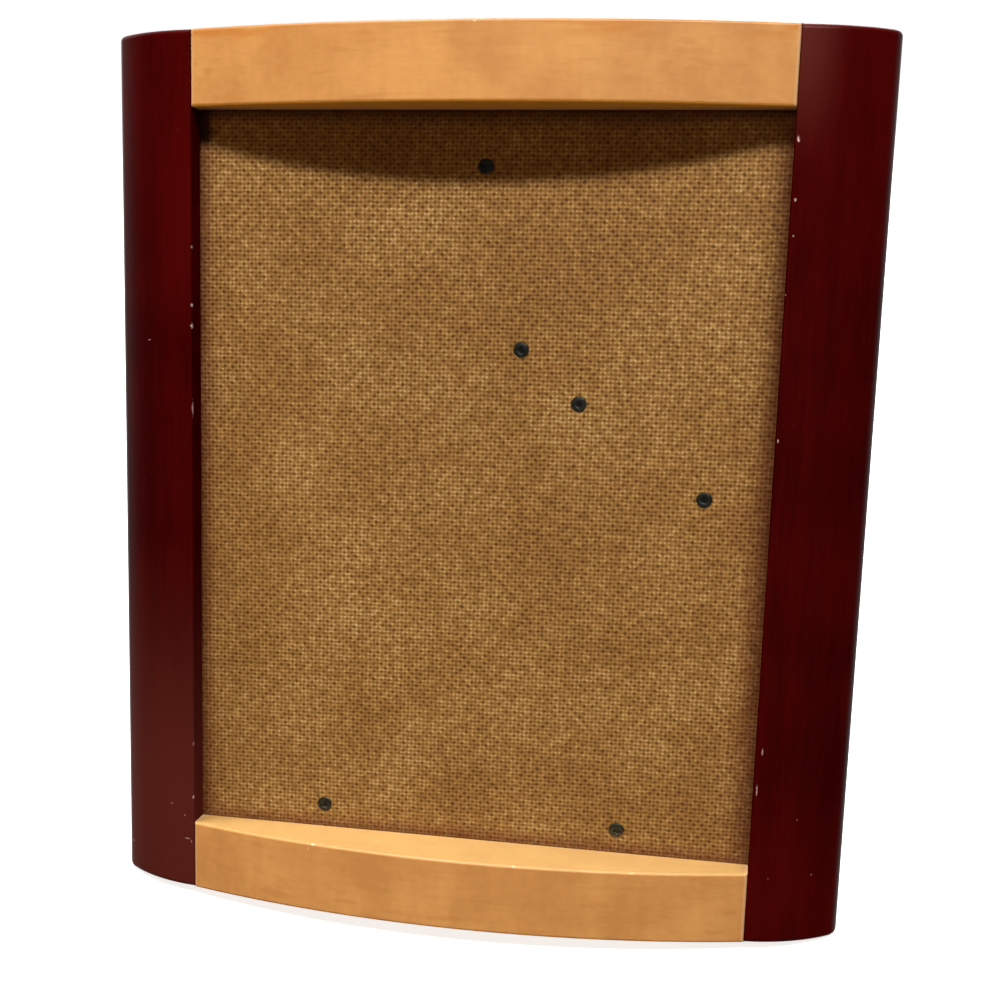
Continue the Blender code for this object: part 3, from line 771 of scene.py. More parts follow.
@dataclass(frozen=True)
class ScreenHardboard:
    """Hardboard with the woven print of the press screen on one face.

    Painted shade darkens the print along the frame's opening, where the stiles and
    rails shadow it. Low down it reaches twice as far in from the right edge, whose
    distance then counts half.
    """

    ridge: Colour = (0.250, 0.129, 0.027)
    # Painted highlight on the print's highest crests.
    painted_crest_highlight: Colour = (0.37, 0.265, 0.135)
    crest_highlight_tone: Fade = Fade(0.84, 1.24, 0.0, 0.85)
    # The pits' colour is partly the board's own dark tone, partly painted shade in the hollows.
    pit_and_painted_shade: Colour = (0.076, 0.022, 0.0006)
    smooth: Colour = (0.180, 0.088, 0.033)
    fibre: Colour = (0.52, 0.38, 0.20)
    fibre_share: float = 0.55
    # Painted shade: the shadow of the stiles and rails on the board along the opening.
    painted_edge_shade: Colour = (0.085, 0.008, 0.0)
    rim: Fade = Fade(-0.5 * MM, 5.5 * MM, 0.56, 0.0)
    wide_side_shade: Fade = Fade(0.0, 18 * MM, 0.09, 0.0)
    right_count: Fade = Fade(0.08, 0.24, 0.50, 1.0)
    opening: Opening | None = None
    pitch_across: float = 1.37 * MM
    pitch_up: float = 1.36 * MM
    sway: float = 0.32
    knot_depth: float = 0.35
    hole_depth: float = 0.10
    row_depth: float = 0.55
    column_depth: float = 0.40
    relief: float = 0.16 * MM
    strand_depth: float = 0.15

    def material(self, name: str, turn: Euler, origin: Vector, screened: Vector) -> Material:
        """Make the material.

        Args:
            name: The material's name.
            turn: The turn of the board's own axes in its object.
            origin: The place of the board's own origin in its object.
            screened: The direction that the screened face points in.

        Returns:
            The material.
        """
        shading = Shading(name)
        place = shading.place_in(turn, origin)
        cloud = shading.noise(place, 30 * MM, detail=3.0)
        mottle = shading.noise(place, 2.2 * MM, detail=3.0)
        weave = self.weave(shading, place)
        tone = shading.total(
            weave, shading.vary(cloud, -0.11, 0.11), shading.vary(mottle, -0.2, 0.2)
        )
        # Darker in the print's hollows: the board's tone plus painted shade.
        woven = shading.mix(tone, self.pit_and_painted_shade, self.ridge)
        # Mix in the painted highlight on the crests.
        woven = shading.mix(shading.fade(tone, self.crest_highlight_tone), woven, self.painted_crest_highlight)
        specks = shading.specks(place, spacing=7 * MM, size=0.35 * MM, share=0.12)
        woven = shading.mix(shading.times(specks, self.fibre_share), woven, self.fibre)
        # Mix in the painted shade along the opening.
        woven = shading.mix(self.edge_shade_share(shading, place), woven, self.painted_edge_shade)
        strands = shading.drawn_out(place, Grain.STRANDS)
        strands = shading.noise(strands, 0.8 * MM, detail=4.0, roughness=0.7)
        back_tone = shading.total(shading.vary(cloud, 0.7, 1.1), shading.vary(strands, -0.2, 0.2))
        plain = shading.mix(back_tone, (0.0, 0.0, 0.0), self.smooth)
        front = shading.faces_along(screened)
        height = shading.total(
            shading.times(front, shading.total(weave, mottle)),
            shading.times(strands, self.strand_depth),
        )
        return shading.surface({
            "Base Color": shading.mix(front, plain, woven),
            "Roughness": shading.vary(mottle, 0.55, 0.75),
            "Specular IOR Level": 0.2,
            "Normal": shading.bump(height, self.relief),
        })

    def edge_shade_share(self, shading: Shading, place: Socket) -> Value:
        """Build the painted shade along the opening, where the stiles and rails shadow the board.

        Args:
            shading: The material's tree.
            place: The point's place in the board's own axes.

        Returns:
            The share of painted shade, which fades out away from the opening's edges.
        """
        if self.opening is None:
            return 0.0
        across, _, up = shading.parts(place)
        right = shading.minus(self.opening.half_width, across)
        right = shading.times(right, shading.fade(up, self.right_count))
        left = shading.total(self.opening.half_width, across)
        aside = shading.math("MINIMUM", left, right)
        below_top = shading.minus(self.opening.top, up)
        above_bottom = shading.minus(up, self.opening.bottom)
        nearest = shading.math("MINIMUM", above_bottom, below_top)
        nearest = shading.math("MINIMUM", nearest, aside)
        return shading.total(shading.fade(nearest, self.rim), shading.fade(aside, self.wide_side_shade))

    def weave(self, shading: Shading, place: Socket) -> Socket:
        """Build the print of the press screen.

        Args:
            shading: The material's tree.
            place: The point's place in the board's own axes.

        Returns:
            The height of the print, 0 in a pit and 1 on a ridge.
        """
        sway = shading.noise(place, 3.5 * MM, detail=1.0)
        sway = shading.spread(sway, 0.2, 0.8, -self.sway, self.sway)
        across, _, up = shading.parts(place)
        across = shading.times(across, math.pi / self.pitch_across)
        up = shading.times(up, math.pi / self.pitch_up)
        columns = shading.math("COSINE", shading.total(across, sway))
        rows = shading.math("COSINE", shading.minus(up, sway))
        crossing = shading.times(columns, rows)
        print_depth = shading.total(
            shading.times(shading.math("MINIMUM", crossing, 0.0), -self.knot_depth),
            shading.times(shading.math("MAXIMUM", crossing, 0.0), -self.hole_depth),
            shading.times(shading.times(rows, rows), -self.row_depth),
            shading.times(shading.times(columns, columns), -self.column_depth),
        )
        pressed = shading.noise(place, 1.6 * MM, detail=0.0)
        pressed = shading.spread(pressed, 0.25, 0.75, 0.75, 1.15)
        return shading.total(1.0, shading.times(print_depth, pressed))


@dataclass(frozen=True)
class ClearGlass:
    """Thin low-glare picture glass that lets the lamps through to the board."""

    tint: Colour = (0.985, 0.995, 0.988)
    ior: float = 1.26
    ripple: float = 0.01 * MM

    def material(self) -> Material:
        """Make the material, which lets shadow rays through.

        Returns:
            The material.
        """
        shading = Shading("clear_glass")
        waves = shading.noise(shading.object_place(), 40 * MM, detail=1.0)
        glass = shading.node("BsdfPrincipled", {
            "Base Color": opaque(self.tint),
            "Roughness": 0.0,
            "IOR": self.ior,
            "Transmission Weight": 1.0,
            "Normal": shading.bump(waves, self.ripple),
        })
        clear = shading.node("BsdfTransparent", {"Color": opaque(self.tint)})
        shadow = shading.node("LightPath", {}).outputs["Is Shadow Ray"]
        mixed = shading.node("MixShader", {0: shadow, 1: glass.outputs[0], 2: clear.outputs[0]})
        shading.node("OutputMaterial", {"Surface": mixed.outputs[0]})
        return shading.material


@dataclass(frozen=True)
class PlatedSteel:
    """Plated sheet or wire, with handling marks and fine scratches."""

    name: str
    bright: Colour
    dull: Colour
    roughness: float
    scratch: float = 0.01 * MM

    def material(self) -> Material:
        """Make the material.

        Returns:
            The material.
        """
        shading = Shading(self.name)
        place = shading.object_place()
        stains = shading.noise(place, 5 * MM, detail=4.0, roughness=0.65)
        scratches = shading.noise(shading.drawn_out(place, Grain.SCRATCHES), 0.25 * MM)
        tone = shading.total(
            shading.spread(stains, 0.35, 0.7, 0.1, 0.9), shading.vary(scratches, -0.15, 0.15)
        )
        return shading.surface({
            "Base Color": shading.mix(tone, self.bright, self.dull),
            "Metallic": 1.0,
            "Roughness": shading.vary(stains, self.roughness - 0.06, self.roughness + 0.12),
            "Normal": shading.bump(scratches, self.scratch),
        })


@dataclass(frozen=True)
class BareDowel:
    """Unfinished birch dowel."""

    pale: Colour = (0.66, 0.48, 0.28)
    deep: Colour = (0.52, 0.35, 0.18)
    relief: float = 0.05 * MM

    def material(self) -> Material:
        """Make the material, with its grain along the dowel.

        Returns:
            The material.
        """
        shading = Shading("bare_birch")
        along = shading.drawn_out(shading.object_place(), Grain.ACROSS)
        fibres = shading.noise(along, 0.6 * MM, detail=4.0)
        return shading.surface({
            "Base Color": shading.mix(shading.vary(fibres, 0.0, 1.0), self.pale, self.deep),
            "Roughness": shading.vary(fibres, 0.6, 0.8),
            "Normal": shading.bump(fibres, self.relief),
        })


# Placing and dressing


def dress(item: Piece, material: Material) -> None:
    """Give a piece one material.

    Args:
        item: The piece, with or without material slots.
        material: Its material.
    """
    if not item.material_slots:
        item.data.materials.append(material)
    for slot in item.material_slots:
        slot.material = material


def hand_over(item: Piece, node: str, body: str, material: Material) -> None:
    """Dress a finished piece and let it stand for its CAD node.

    Args:
        item: The finished piece, in the world.
        node: The CAD node that it replaces.
        body: The body that it rides on.
        material: Its material.
    """
    dress(item, material)
    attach(item, body)
    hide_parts(node)
    triangles = sum(len(face.vertices) - 2 for face in item.data.polygons)
    LOG.info("%s rides on %s: %d triangles", item.name, body, triangles)


def dress_node(node: str, material: Material) -> None:
    """Dress a CAD node that is shown as it is."""
    dress(frame["nodes"][node], material)
    LOG.info("%s dressed", node)


def body_of(node: str) -> str:
    """Return the body that a CAD node belongs to."""
    bodies = frame["record"]["behaviour"]["bodies"]
    return next(body for body, nodes in bodies.items() if node in nodes)


# The wooden frame


@dataclass(frozen=True)
class Bow:
    """The upright drum whose surface is the bowed front."""

    half_width: float
    depth: float
    rise: float = 0.0138

    @property
    def radius(self) -> float:
        """The drum's radius."""
        return (self.half_width ** 2 + self.rise ** 2) / (2 * self.rise)

    @property
    def centre_y(self) -> float:
        """The depth of the drum's axis."""
        return self.radius - self.depth

    def y(self, x: float) -> float:
        """Return the front's depth at a distance across the frame."""
        return self.centre_y - math.sqrt(self.radius ** 2 - x ** 2)


@dataclass(frozen=True)
class Crown:
    """The right stile's crowned front, from its joint to its rounded side."""

    start: Vector
    side_round: Vector
    round_radius: float
    radius: float = 0.049

    @property
    def centre(self) -> Vector:
        """The axis of the drum that the crown is cut to.

        Returns:
            The point that is the crown's radius from its start, and so far from the
            side's round that the two surfaces run into each other.
        """
        across = self.side_round - self.start
        reach = self.radius - self.round_radius
        along = (self.radius ** 2 - reach ** 2 + across.length_squared) / (2 * across.length)
        aside = math.sqrt(self.radius ** 2 - along ** 2)
        direction = across.normalized()
        return self.start + direction * along + direction.orthogonal() * aside

    @property
    def first_angle(self) -> float:
        """The angle at which the crown starts."""
        first = self.start - self.centre
        return math.atan2(first.y, first.x)

    @property
    def last_angle(self) -> float:
        """The angle at which it runs into the rounded side."""
        last = self.side_round - self.centre
        return math.atan2(last.y, last.x)


@dataclass
class WoodenFrame:
    """The two stiles and two rails, cut from one bowed front.

    All edges are eased, more at the stiles' ends and hardly at the butt joints.
    """

    space: LeanSpace
    outer_round: float = 0.0075
    side_flat: float = 0.0018
    ease: float = 0.001
    end_ease: float = 0.0022
    joint_ease: float = 0.00015
    ease_steps: int = 5
    round_steps: int = 10
    facet: float = 0.0022
    fewest_facets: int = 4
    seam: float = 0.00002
    glazing_play: float = 0.0005
    past_back: float = 0.004
    slot_depth: float = 0.005
    hole_sides: int = 32

    def __post_init__(self) -> None:
        """Measure the members in the CAD model."""
        self.rail_box = self.space.box("top_rail")
        self.stile_box = self.space.box("right_stile")
        self.sight_half = self.stile_box[0].x
        self.bow = Bow(self.sight_half, -self.rail_box[0].y)

    def bow_steps(self, start: float, end: float) -> int:
        """Count the facets of a stretch of the bow."""
        return max(self.fewest_facets, round(abs(end - start) / self.facet))

    def back_face(self, name: str, low: Vector, high: Vector) -> Piece:
        """Add a member's flat back as an upright plane.

        Args:
            name: The new piece's name.
            low: The member's lowest corner.
            high: The member's highest corner.

        Returns:
            The plane, at Y = 0.
        """
        deselect_all()
        centre = ((low.x + high.x) / 2, 0, (low.z + high.z) / 2)
        bpy.ops.mesh.primitive_plane_add(size=1, location=centre, rotation=(math.pi / 2, 0, 0))
        return added(name, (high.x - low.x, high.z - low.z, 1))

    def spin_edge(self, angle: float, centre: Point, steps: int) -> None:
        """Spin the selected upright edge anticlockwise about an upright axis."""
        bpy.ops.mesh.spin(steps=steps, angle=-angle, center=centre, axis=(0, 0, 1))

    def sweep_bow(self, start: float, end: float) -> None:
        """Spin the selected upright edge along the bow from one X to another."""
        angle = math.asin(end / self.bow.radius) - math.asin(start / self.bow.radius)
        self.spin_edge(angle, (0, self.bow.centre_y, 0), self.bow_steps(start, end))

    def finish_member(self, item: Piece, width: float, *joints: float) -> None:
        """Cap the member's wall at both ends and ease its edges.

        Args:
            item: The member, open at its top and bottom.
            width: The width of the easing round its top and bottom.
            *joints: X of each face that butts against another member, whose top
                and bottom edges are barely eased, so that no notch shows there.
        """
        with editing(item):
            close_mesh()
            heights = [round(point.co.z, 6) for point in bmesh.from_edit_mesh(item.data).verts]
            ends = (min(heights), max(heights))
            for height in ends:
                select_edges(item, z=height)
                bpy.ops.mesh.edge_face_add()
            close_mesh()
            bpy.ops.mesh.select_all(action="DESELECT")
            bpy.ops.mesh.edges_select_sharp(sharpness=math.radians(30))
            bpy.ops.transform.edge_bevelweight(value=self.ease / width)
            for height in ends:
                if width > self.ease:
                    select_edges(item, z=height)
                    bpy.ops.transform.edge_bevelweight(value=1.0)
                for joint in joints:
                    # The operator adds to an edge's weight, so it is cleared first
                    select_edges(item, x=joint, z=height)
                    bpy.ops.transform.edge_bevelweight(value=-1.0)
                    bpy.ops.transform.edge_bevelweight(value=self.joint_ease / width)
        apply_modifier(item, "BEVEL", width=width, segments=self.ease_steps, limit_method="WEIGHT")

    def stile(self, side: Side) -> Piece:
        """Model one stile.

        Args:
            side: The side that it is on.

        Returns:
            The solid stile, before the rebate is cut.
        """
        sign = side.value
        low, high = self.space.box(f"{side.word}_stile")
        inner = sign * self.sight_half
        start = Vector((self.sight_half, self.bow.y(self.sight_half)))
        side_round = Vector((self.stile_box[1].x - self.outer_round, -self.side_flat))
        crown = Crown(start, side_round, self.outer_round)
        item = self.back_face(f"{side.word}_stile_wood", low, high)
        with editing(item):
            select_edges(item, x=inner)
            extrude((0, start.y, 0))
            turn = crown.last_angle - crown.first_angle
            steps = self.bow_steps(0, crown.radius * turn)
            self.spin_edge(sign * turn, (sign * crown.centre.x, crown.centre.y, 0), steps)
            centre = (sign * side_round.x, side_round.y, 0)
            self.spin_edge(-sign * crown.last_angle, centre, self.round_steps)
            extrude((0, self.side_flat, 0))
        self.finish_member(item, self.end_ease, inner)
        return item

    def rail(self, row: Row) -> Piece:
        """Model one rail.

        Args:
            row: The end of the frame that it is at.

        Returns:
            The solid rail, before the rebate is cut.
        """
        low, high = self.space.box(f"{row.word}_rail")
        reach = self.sight_half - self.seam
        low.x, high.x = -reach, reach
        item = self.back_face(f"{row.word}_rail_wood", low, high)
        with editing(item):
            select_edges(item, x=low.x)
            extrude((0, self.bow.y(low.x), 0))
            self.sweep_bow(low.x, high.x)
            extrude((0, -self.bow.y(high.x), 0))
        self.finish_member(item, self.ease, low.x, high.x)
        return item

    def cut_rebate(self, item: Piece) -> None:
        """Cut the rebate that the glass and board lie in.

        Args:
            item: The member.
        """
        low, high = self.space.box("glass_pane")
        play = Vector((self.glazing_play, 0, self.glazing_play))
        low = low - play
        high = high + play
        low.y -= AIR
        high.y = self.past_back
        cut_away(item, add_box("rebate", low, high))

    def cut_slots(self, item: Piece, row: Row) -> None:
        """Cut a rail's slots, for the framing points or for the turn buttons' swivel.

        Args:
            item: The rail.
            row: The end of the frame that it is at.
        """
        glass_low = self.space.box("glass_pane")[0]
        catch = "framing_point" if row is Row.TOP else "turn_button"
        for side in Side:
            low, high = self.space.box(f"{catch}_{side.word}")
            if row is Row.BOTTOM:
                centre = (low + high) / 2
                reach = (high.z - low.z) / 2
                drop = centre.z - (glass_low.z - self.glazing_play)
                sweep = math.sqrt(reach ** 2 - drop ** 2) + 2 * AIR
                low = Vector((centre.x - sweep, low.y, glass_low.z - self.slot_depth))
                high = Vector((centre.x + sweep, high.y, glass_low.z))
            grow = Vector((AIR, AIR, 2 * AIR))
            cut_away(item, add_box("slot", low - grow, high + grow))

    def bore_dowel_holes(self, item: Piece, part: Part) -> None:
        """Bore the holes of the dowels that a member holds.

        Args:
            item: The member.
            part: The side or the end of the frame that it is at.
        """
        for node in frame["nodes"]:
            if not (node.startswith("dowel_") and f"_{part.word}_" in node):
                continue
            low, high = self.space.box(node)
            deselect_all()
            bpy.ops.mesh.primitive_cylinder_add(
                vertices=self.hole_sides,
                radius=(high.z - low.z) / 2 + AIR,
                depth=high.x - low.x + 4 * AIR,
                location=(low + high) / 2,
                rotation=(0, math.pi / 2, 0),
            )
            cut_away(item, added("dowel_hole"))

    def build(self, mahogany: Material, maple: Material) -> None:
        """Model, place and dress the four members.

        Args:
            mahogany: The stiles' finish.
            maple: The rails' finish.
        """
        for side in Side:
            item = self.stile(side)
            self.cut_rebate(item)
            self.bore_dowel_holes(item, side)
            self.settle(item, f"{side.word}_stile", mahogany)
        for row in Row:
            item = self.rail(row)
            self.cut_rebate(item)
            self.cut_slots(item, row)
            self.bore_dowel_holes(item, row)
            self.settle(item, f"{row.word}_rail", maple)

    def settle(self, item: Piece, node: str, material: Material) -> None:
        """Put a member in its leaning place and hand it over.

        Args:
            item: The member, upright.
            node: The CAD node that it replaces.
            material: Its material.
        """
        shade_round(item)
        item.data.transform(self.space.to_world)
        hand_over(item, node, "frame", material)


# The glass, board and rivets


@dataclass
class Glazing:
    """The glass and the backing board with its tubular rivets.

    A rivet's head at the front is rolled, with a bore whose lip and rim are round,
    and its set head at the back is crowned.
    """

    space: LeanSpace
    bore_radius: float = 0.00105
    bore_depth: float = 0.0016
    lip_radius: float = 0.00135
    lip_round: float = 0.0003
    lip_steps: int = 4
    rim_round: float = 0.00035
    rim_steps: int = 5
    head_thickness: float = 0.0007
    crown_flat: float = 0.55
    crown_angles: tuple[float, ...] = (0, 25, 50, 75, 90)
    shank_share: float = 0.58
    turning_steps: int = 40

    def board_finish(self) -> Material:
        """Make the board's finish, with its screened face to the front.

        Returns:
            The material.
        """
        opening = Opening(
            half_width=self.space.box("right_stile")[0].x,
            bottom=self.space.box("bottom_rail")[1].z,
            top=self.space.box("top_rail")[0].z,
        )
        to_world = self.space.to_world
        return ScreenHardboard(opening=opening).material(
            "screen_hardboard", to_world.to_euler(), to_world.translation,
            self.space.direction(0, -1, 0),
        )

    def rivet_profile(self, length: float, radius: float) -> list[tuple[float, float]]:
        """List the profile of a tubular rivet, from its rolled head to its set one.

        Args:
            length: The rivet's whole length.
            radius: The radius of both heads.

        Returns:
            The (radius, depth) points, with the rolled head at depth 0.
        """
        lip = [
            (self.lip_radius - x, self.lip_round - y)
            for x, y in arc(self.lip_round, self.lip_steps)
        ]
        rim = [
            (radius - self.rim_round + x, self.rim_round - y)
            for x, y in reversed(arc(self.rim_round, self.rim_steps))
        ]
        head = self.head_thickness
        shank = radius * self.shank_share
        crown = []
        for angle in map(math.radians, self.crown_angles):
            share = self.crown_flat + (1 - self.crown_flat) * math.cos(angle)
            crown.append((radius * share, length - head * (1 - math.sin(angle))))
        return [
            (0, self.bore_depth), (self.bore_radius, self.bore_depth), *lip, *rim,
            (radius, head), (shank, head), (shank, length - head), *crown, (0, length),
        ]

    def rivet(self, node: str) -> Piece:
        """Model one rivet of the board in its place.

        Args:
            node: The rivet's CAD node.

        Returns:
            The rivet in the world.
        """
        low, high = self.space.box(node)
        profile = self.rivet_profile(high.y - low.y, (high.x - low.x) / 2)
        item = turned(f"{node}_turned", profile, self.turning_steps)
        shade_round(item, 50)
        centre = (low + high) / 2
        into_board = Matrix.Translation((centre.x, low.y, centre.z))
        into_board = into_board @ Matrix.Rotation(-math.pi / 2, 4, "X")
        item.data.transform(self.space.to_world @ into_board)
        return item

    def build(self, dark_steel: Material) -> None:
        """Dress the glass and the board and model the rivets.

        Args:
            dark_steel: The rivets' finish.
        """
        dress_node("glass_pane", ClearGlass().material())
        dress_node("backing_board", self.board_finish())
        for node in sorted(frame["nodes"]):
            if "rivet" in node and not node.startswith("leg_"):
                hand_over(self.rivet(node), node, "frame", dark_steel)


# The easel leg, hinge, hangers and catches


@dataclass
class Hardware:
    """The pieces of sheet, wire and board on the frame's back."""

    space: LeanSpace
    sheet_ease: float = 0.00014
    sheet_steps: int = 2
    board_ease: float = 0.0004
    board_steps: int = 3
    leg_open: float = math.radians(27.0)
    sheet_pieces: tuple[str, ...] = (
        "framing_point_left", "framing_point_right", "turn_button_left", "turn_button_right",
        "hinge_board_leaf", "hinge_leg_leaf", "hinge_pin", "leg_rivet_1", "leg_rivet_2",
        "top_hanger_strap", "side_hanger_strap",
    )
    rings: tuple[str, ...] = ("top_hanger_ring", "side_hanger_ring")

    def eased_copy(self, node: str, ease: float, steps: int) -> Piece:
        """Copy a CAD node's solid and ease its sharp edges.

        Args:
            node: The node's name.
            ease: The width of the easing.
            steps: Its segments.

        Returns:
            The new piece, where the node is.
        """
        item = copied(node, "eased")
        with editing(item):
            close_mesh()
            bpy.ops.mesh.dissolve_limited(angle_limit=math.radians(1.0))
            bpy.ops.mesh.select_all(action="DESELECT")
            bpy.ops.mesh.edges_select_sharp(sharpness=math.radians(40))
            bpy.ops.mesh.bevel(offset=ease, segments=steps, affect="EDGES", clamp_overlap=True)
        shade_round(item, 40)
        return item

    def ring(self, node: str) -> Piece:
        """Model a hanger's ring of round wire.

        Args:
            node: The ring's CAD node.

        Returns:
            The ring, where the node is.
        """
        item = copied(node, "wire")
        with editing(item):
            close_mesh()
        apply_modifier(item, "SUBSURF", levels=1, render_levels=1)
        pick(item)
        bpy.ops.object.shade_smooth()
        return item

    def leg_finish(self) -> Material:
        """Make the leg's finish, with its screened face to the frame.

        Returns:
            The material.
        """
        joints = {joint["name"]: joint for joint in frame["record"]["behaviour"]["joints"]}
        along_pin = Vector(joints["leg_hinge"]["axis"])
        origin = Vector(joints["leg_hinge"]["pos_m"])
        outward = Matrix.Rotation(self.leg_open, 3, along_pin) @ self.space.direction(0, 1, 0)
        down = outward.cross(along_pin)
        axes = Matrix((along_pin, outward, down)).transposed()
        return ScreenHardboard().material("leg_hardboard", axes.to_euler(), origin, -outward)

    def build(self, zinc: Material) -> None:
        """Model and dress the hardware.

        Args:
            zinc: The finish of the sheet and wire pieces.
        """
        for node in self.sheet_pieces:
            item = self.eased_copy(node, self.sheet_ease, self.sheet_steps)
            hand_over(item, node, body_of(node), zinc)
        for node in self.rings:
            hand_over(self.ring(node), node, body_of(node), zinc)
        leg = self.eased_copy("easel_leg", self.board_ease, self.board_steps)
        hand_over(leg, "easel_leg", "leg", self.leg_finish())


# The studio


@dataclass(frozen=True)
class Lamp:
    """A softbox, placed and aimed in metres."""

    name: str
    place: Point
    aim: Point
    width: float
    height: float
    watts: float
    colour: Colour = (1.0, 1.0, 1.0)
    mirrored: bool = True

    def build(self) -> None:
        """Add the lamp to the scene."""
        data = bpy.data.lights.new(self.name, "AREA")
        data.shape = "RECTANGLE"
        data.size = self.width
        data.size_y = self.height
        data.energy = self.watts
        data.color = self.colour
        item = bpy.data.objects.new(self.name, data)
        bpy.context.collection.objects.link(item)
        item.visible_transmission = False
        item.visible_glossy = self.mirrored
        item.location = self.place
        direction = Vector(self.aim) - Vector(self.place)
        item.rotation_euler = direction.to_track_quat("-Z", "Y").to_euler()


@dataclass(frozen=True)
class Viewpoint:
    """The photograph's camera, placed in the frame's upright space."""

    place: Point = (0.08775, -0.51668, 0.20863)
    aim: Point = (-0.014665, -0.0087, 0.11034)
    roll: float = math.radians(1.3495)
    lens: float = 56.35
    sensor: float = 36.0
    shift: tuple[float, float] = (0.0686, 0.0885)

    def build(self, space: LeanSpace) -> None:
        """Add the camera.

        Args:
            space: The frame's upright space.
        """
        data = bpy.data.cameras.new("camera")
        data.lens = self.lens
        data.sensor_width = self.sensor
        data.shift_x, data.shift_y = self.shift
        data.clip_start = 0.01
        item = bpy.data.objects.new("camera", data)
        bpy.context.collection.objects.link(item)
        back = (Vector(self.place) - Vector(self.aim)).normalized()
        right = Vector((0, 0, 1)).cross(back).normalized()
        level = Matrix((right, back.cross(right), back)).transposed()
        turn = level @ Matrix.Rotation(self.roll, 3, "Z")
        item.matrix_world = space.to_world @ (Matrix.Translation(self.place) @ turn.to_4x4())
        bpy.context.scene.camera = item


@dataclass(frozen=True)
class Studio:
    """The pale floor, the soft lamps and the white surroundings."""

    floor_radius: float = 6.0
    floor_sides: int = 96
    floor_colour: Colour = (0.80, 0.80, 0.80)
    floor_bounce: Colour = (0.16, 0.12, 0.07)
    floor_glow: Fade = Fade(0.3, 1.2, 0.80, 1.0)
    ambient: float = 0.009
    dim_front: Fade = Fade(-0.1, 0.6, 0.05, 1.0)
    lamps: tuple[Lamp, ...] = (
        Lamp("key_softbox", (0.40, -1.05, 1.77), (0.40, 0.0, 0.13), 1.46, 0.18, 40.5),
        Lamp("top_softbox", (-0.46, 0.14, 1.81), (0.0, 0.0, 0.13), 0.35, 0.35, 27.0),
        Lamp("low_fill", (-0.54, -1.44, 0.72), (0.0, 0.0, 0.13), 0.25, 0.5, 6.0,
             colour=(1.0, 0.60, 0.20), mirrored=False),
        Lamp("rear_softbox", (0.15, 1.5, 1.25), (0.0, 0.0, 0.13), 1.2, 1.2, 34.0),
    )

    def floor(self) -> None:
        """Add the floor, which is paler to the camera than the light that it bounces."""
        deselect_all()
        bpy.ops.mesh.primitive_circle_add(
            vertices=self.floor_sides, radius=self.floor_radius, fill_type="NGON"
        )
        item = added("floor")
        item.visible_glossy = False
        shading = Shading("pale_floor")
        seen = shading.node("LightPath", {}).outputs["Is Camera Ray"]
        colour = shading.mix(seen, self.floor_bounce, self.floor_colour)
        diffuse = shading.node("BsdfDiffuse", {"Color": colour})
        away = shading.length(shading.object_place())
        lift = shading.times(seen, shading.fade(away, self.floor_glow))
        glow = shading.node("Emission", {"Color": WHITE, "Strength": lift})
        both = shading.node("AddShader", {0: diffuse.outputs[0], 1: glow.outputs[0]})
        shading.node("OutputMaterial", {"Surface": both.outputs[0]})
        dress(item, shading.material)

    def surroundings(self) -> None:
        """Make the world white to the camera and dim in front of the glass."""
        world = bpy.data.worlds.new("studio")
        bpy.context.scene.world = world
        world.use_nodes = True
        tree = ShaderTree(world.node_tree)
        path = tree.node("LightPath", {}).outputs
        deep = tree.parts(tree.node("TexCoord", {}).outputs["Generated"])[1]
        sharp = tree.math("MAXIMUM", path["Is Glossy Ray"], path["Is Transmission Ray"])
        mirrored = tree.mix_values(sharp, self.ambient, tree.fade(deep, self.dim_front))
        shown = tree.math("MAXIMUM", path["Is Camera Ray"], mirrored)
        scattered = tree.math("GREATER_THAN", path["Diffuse Depth"], 0.5)
        strength = tree.mix_values(scattered, shown, self.ambient)
        background = tree.node("Background", {"Color": WHITE, "Strength": strength})
        tree.node("OutputWorld", {"Surface": background.outputs[0]})

    def build(self) -> None:
        """Build the whole studio."""
        bpy.context.scene.view_settings.view_transform = "Standard"
        self.floor()
        self.surroundings()
        for lamp in self.lamps:
            lamp.build()
        LOG.info("studio built with %d lamps", len(self.lamps))


# Wear and plating

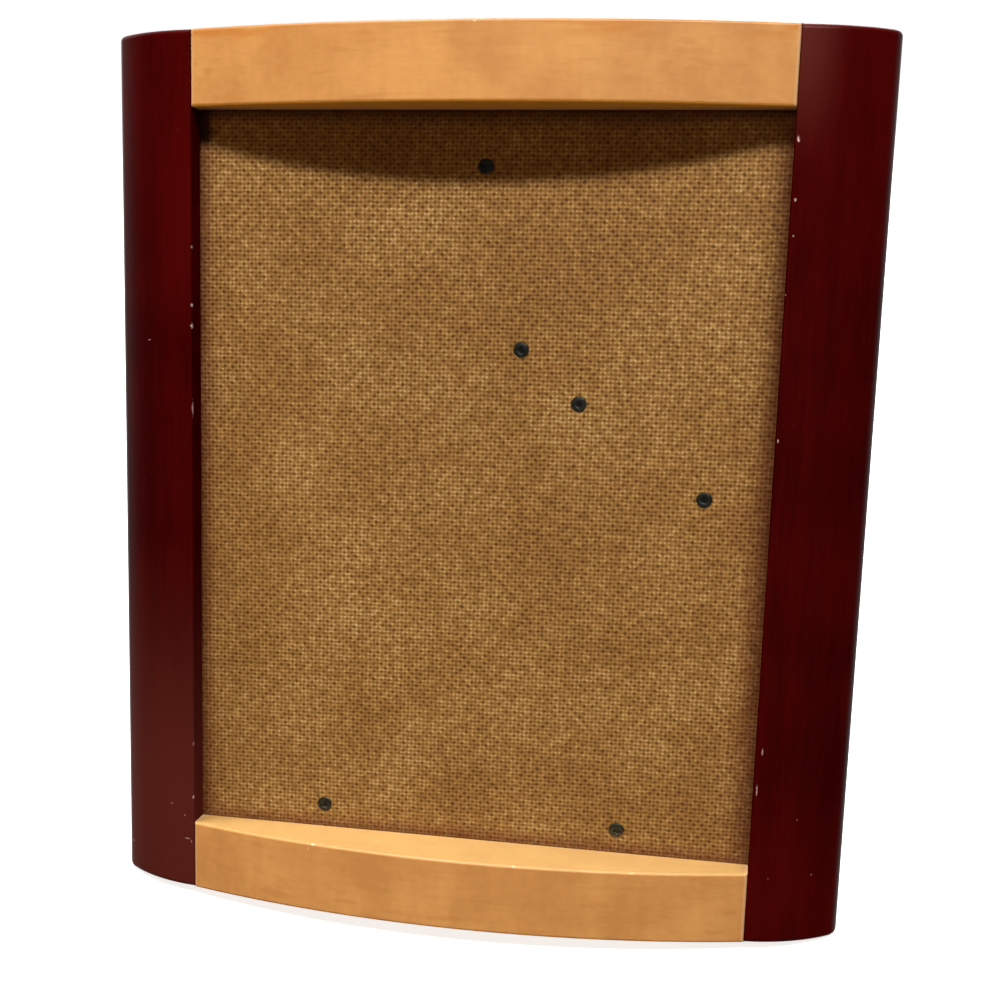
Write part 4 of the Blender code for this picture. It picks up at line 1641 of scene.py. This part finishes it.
STILE_CHIPS = (
    Chip((-95.3, -19.3, 221.1), (0.28, 0.9, 0.43), 0.8),
    Chip((-95.3, -19.3, 202.4), (0.28, 0.9, 0.65)),
    Chip((-95.3, -19.3, 195.6), (0.32, 0.9, 0.79), 0.9),
    Chip((-95.2, -19.3, 168.4), (0.24, 0.9, 2.59), 0.7),
    Chip((-95.5, -19.3, 52.4), (0.24, 0.9, 0.65), 0.3),
    Chip((-95.6, -19.3, 33.2), (0.24, 0.9, 0.58)),
    Chip((-111.9, -14.9, 190.6), (0.56, 0.8, 0.22), 0.5),
    Chip((-104.1, -17.9, 29.7), (0.40, 0.8, 0.22), 0.35),
    Chip((-98.9, -19.1, 26.1), (0.24, 0.8, 0.36), 0.35),
    Chip((-97.8, -19.2, 17.7), (0.96, 0.8, 0.22), 0.45),
    Chip((-96.4, -19.4, 16.7), (0.24, 0.8, 0.65), 0.4),
    Chip((-122.8, -7.6, 10.6), (0.32, 0.6, 0.36), 0.6),
    Chip((96.3, -19.4, 256.0), (0.32, 0.9, 0.79)),
    Chip((96.6, -19.4, 238.3), (0.28, 0.9, 0.43), 0.8),
    Chip((96.6, -19.4, 227.7), (0.24, 0.9, 0.36), 0.7),
    Chip((95.4, -19.5, 210.1), (0.24, 0.9, 0.36), 0.7),
    Chip((96.0, -19.4, 165.6), (0.24, 0.9, 0.43), 0.8),
    Chip((97.4, -19.2, 65.5), (0.18, 0.8, 0.86), 0.8),
    Chip((96.4, -19.4, 52.5), (0.18, 0.8, 1.87), 0.7),
    Chip((109.8, -15.8, 42.6), (0.24, 0.8, 0.30), 0.35),
    Chip((101.8, -18.5, 22.5), (0.20, 0.8, 0.22), 0.25),
    Chip((115.6, -12.8, 23.2), (0.22, 0.8, 0.22), 0.3),
)
RAIL_CHIPS = (
    Chip((-49.5, -29.9, 23.7), (0.88, 1.0, 0.25)),
    Chip((-50.9, -29.4, 22.3), (0.28, 1.0, 0.72), 0.4),
    Chip((19.7, -32.9, 23.8), (0.64, 1.0, 0.22)),
    Chip((58.3, -28.6, 23.6), (0.96, 1.0, 0.22)),
    Chip((-0.6, -33.2, 288.5), (0.56, 0.8, 0.25)),
)
DARK_NICKEL = PlatedSteel("dark_nickel", (0.105, 0.105, 0.088), (0.030, 0.030, 0.025), 0.32)
ZINC_PLATE = PlatedSteel("zinc_plate", (0.66, 0.655, 0.63), (0.46, 0.455, 0.43), 0.34)


def main() -> None:
    """Build the dressed frame and its studio, and report each piece."""
    logging.basicConfig(level=logging.INFO, format="%(name)s: %(message)s")
    space = LeanSpace.measured()
    WoodenFrame(space).build(
        StainedMahogany().material(space, STILE_CHIPS),
        HoneyMaple().material(space, RAIL_CHIPS),
    )
    Glazing(space).build(DARK_NICKEL.material())
    Hardware(space).build(ZINC_PLATE.material())
    birch = BareDowel().material()
    for node in frame["nodes"]:
        if node.startswith("dowel_"):
            dress_node(node, birch)
    Studio().build()
    Viewpoint().build(space)


if __name__ == "__main__":
    main()
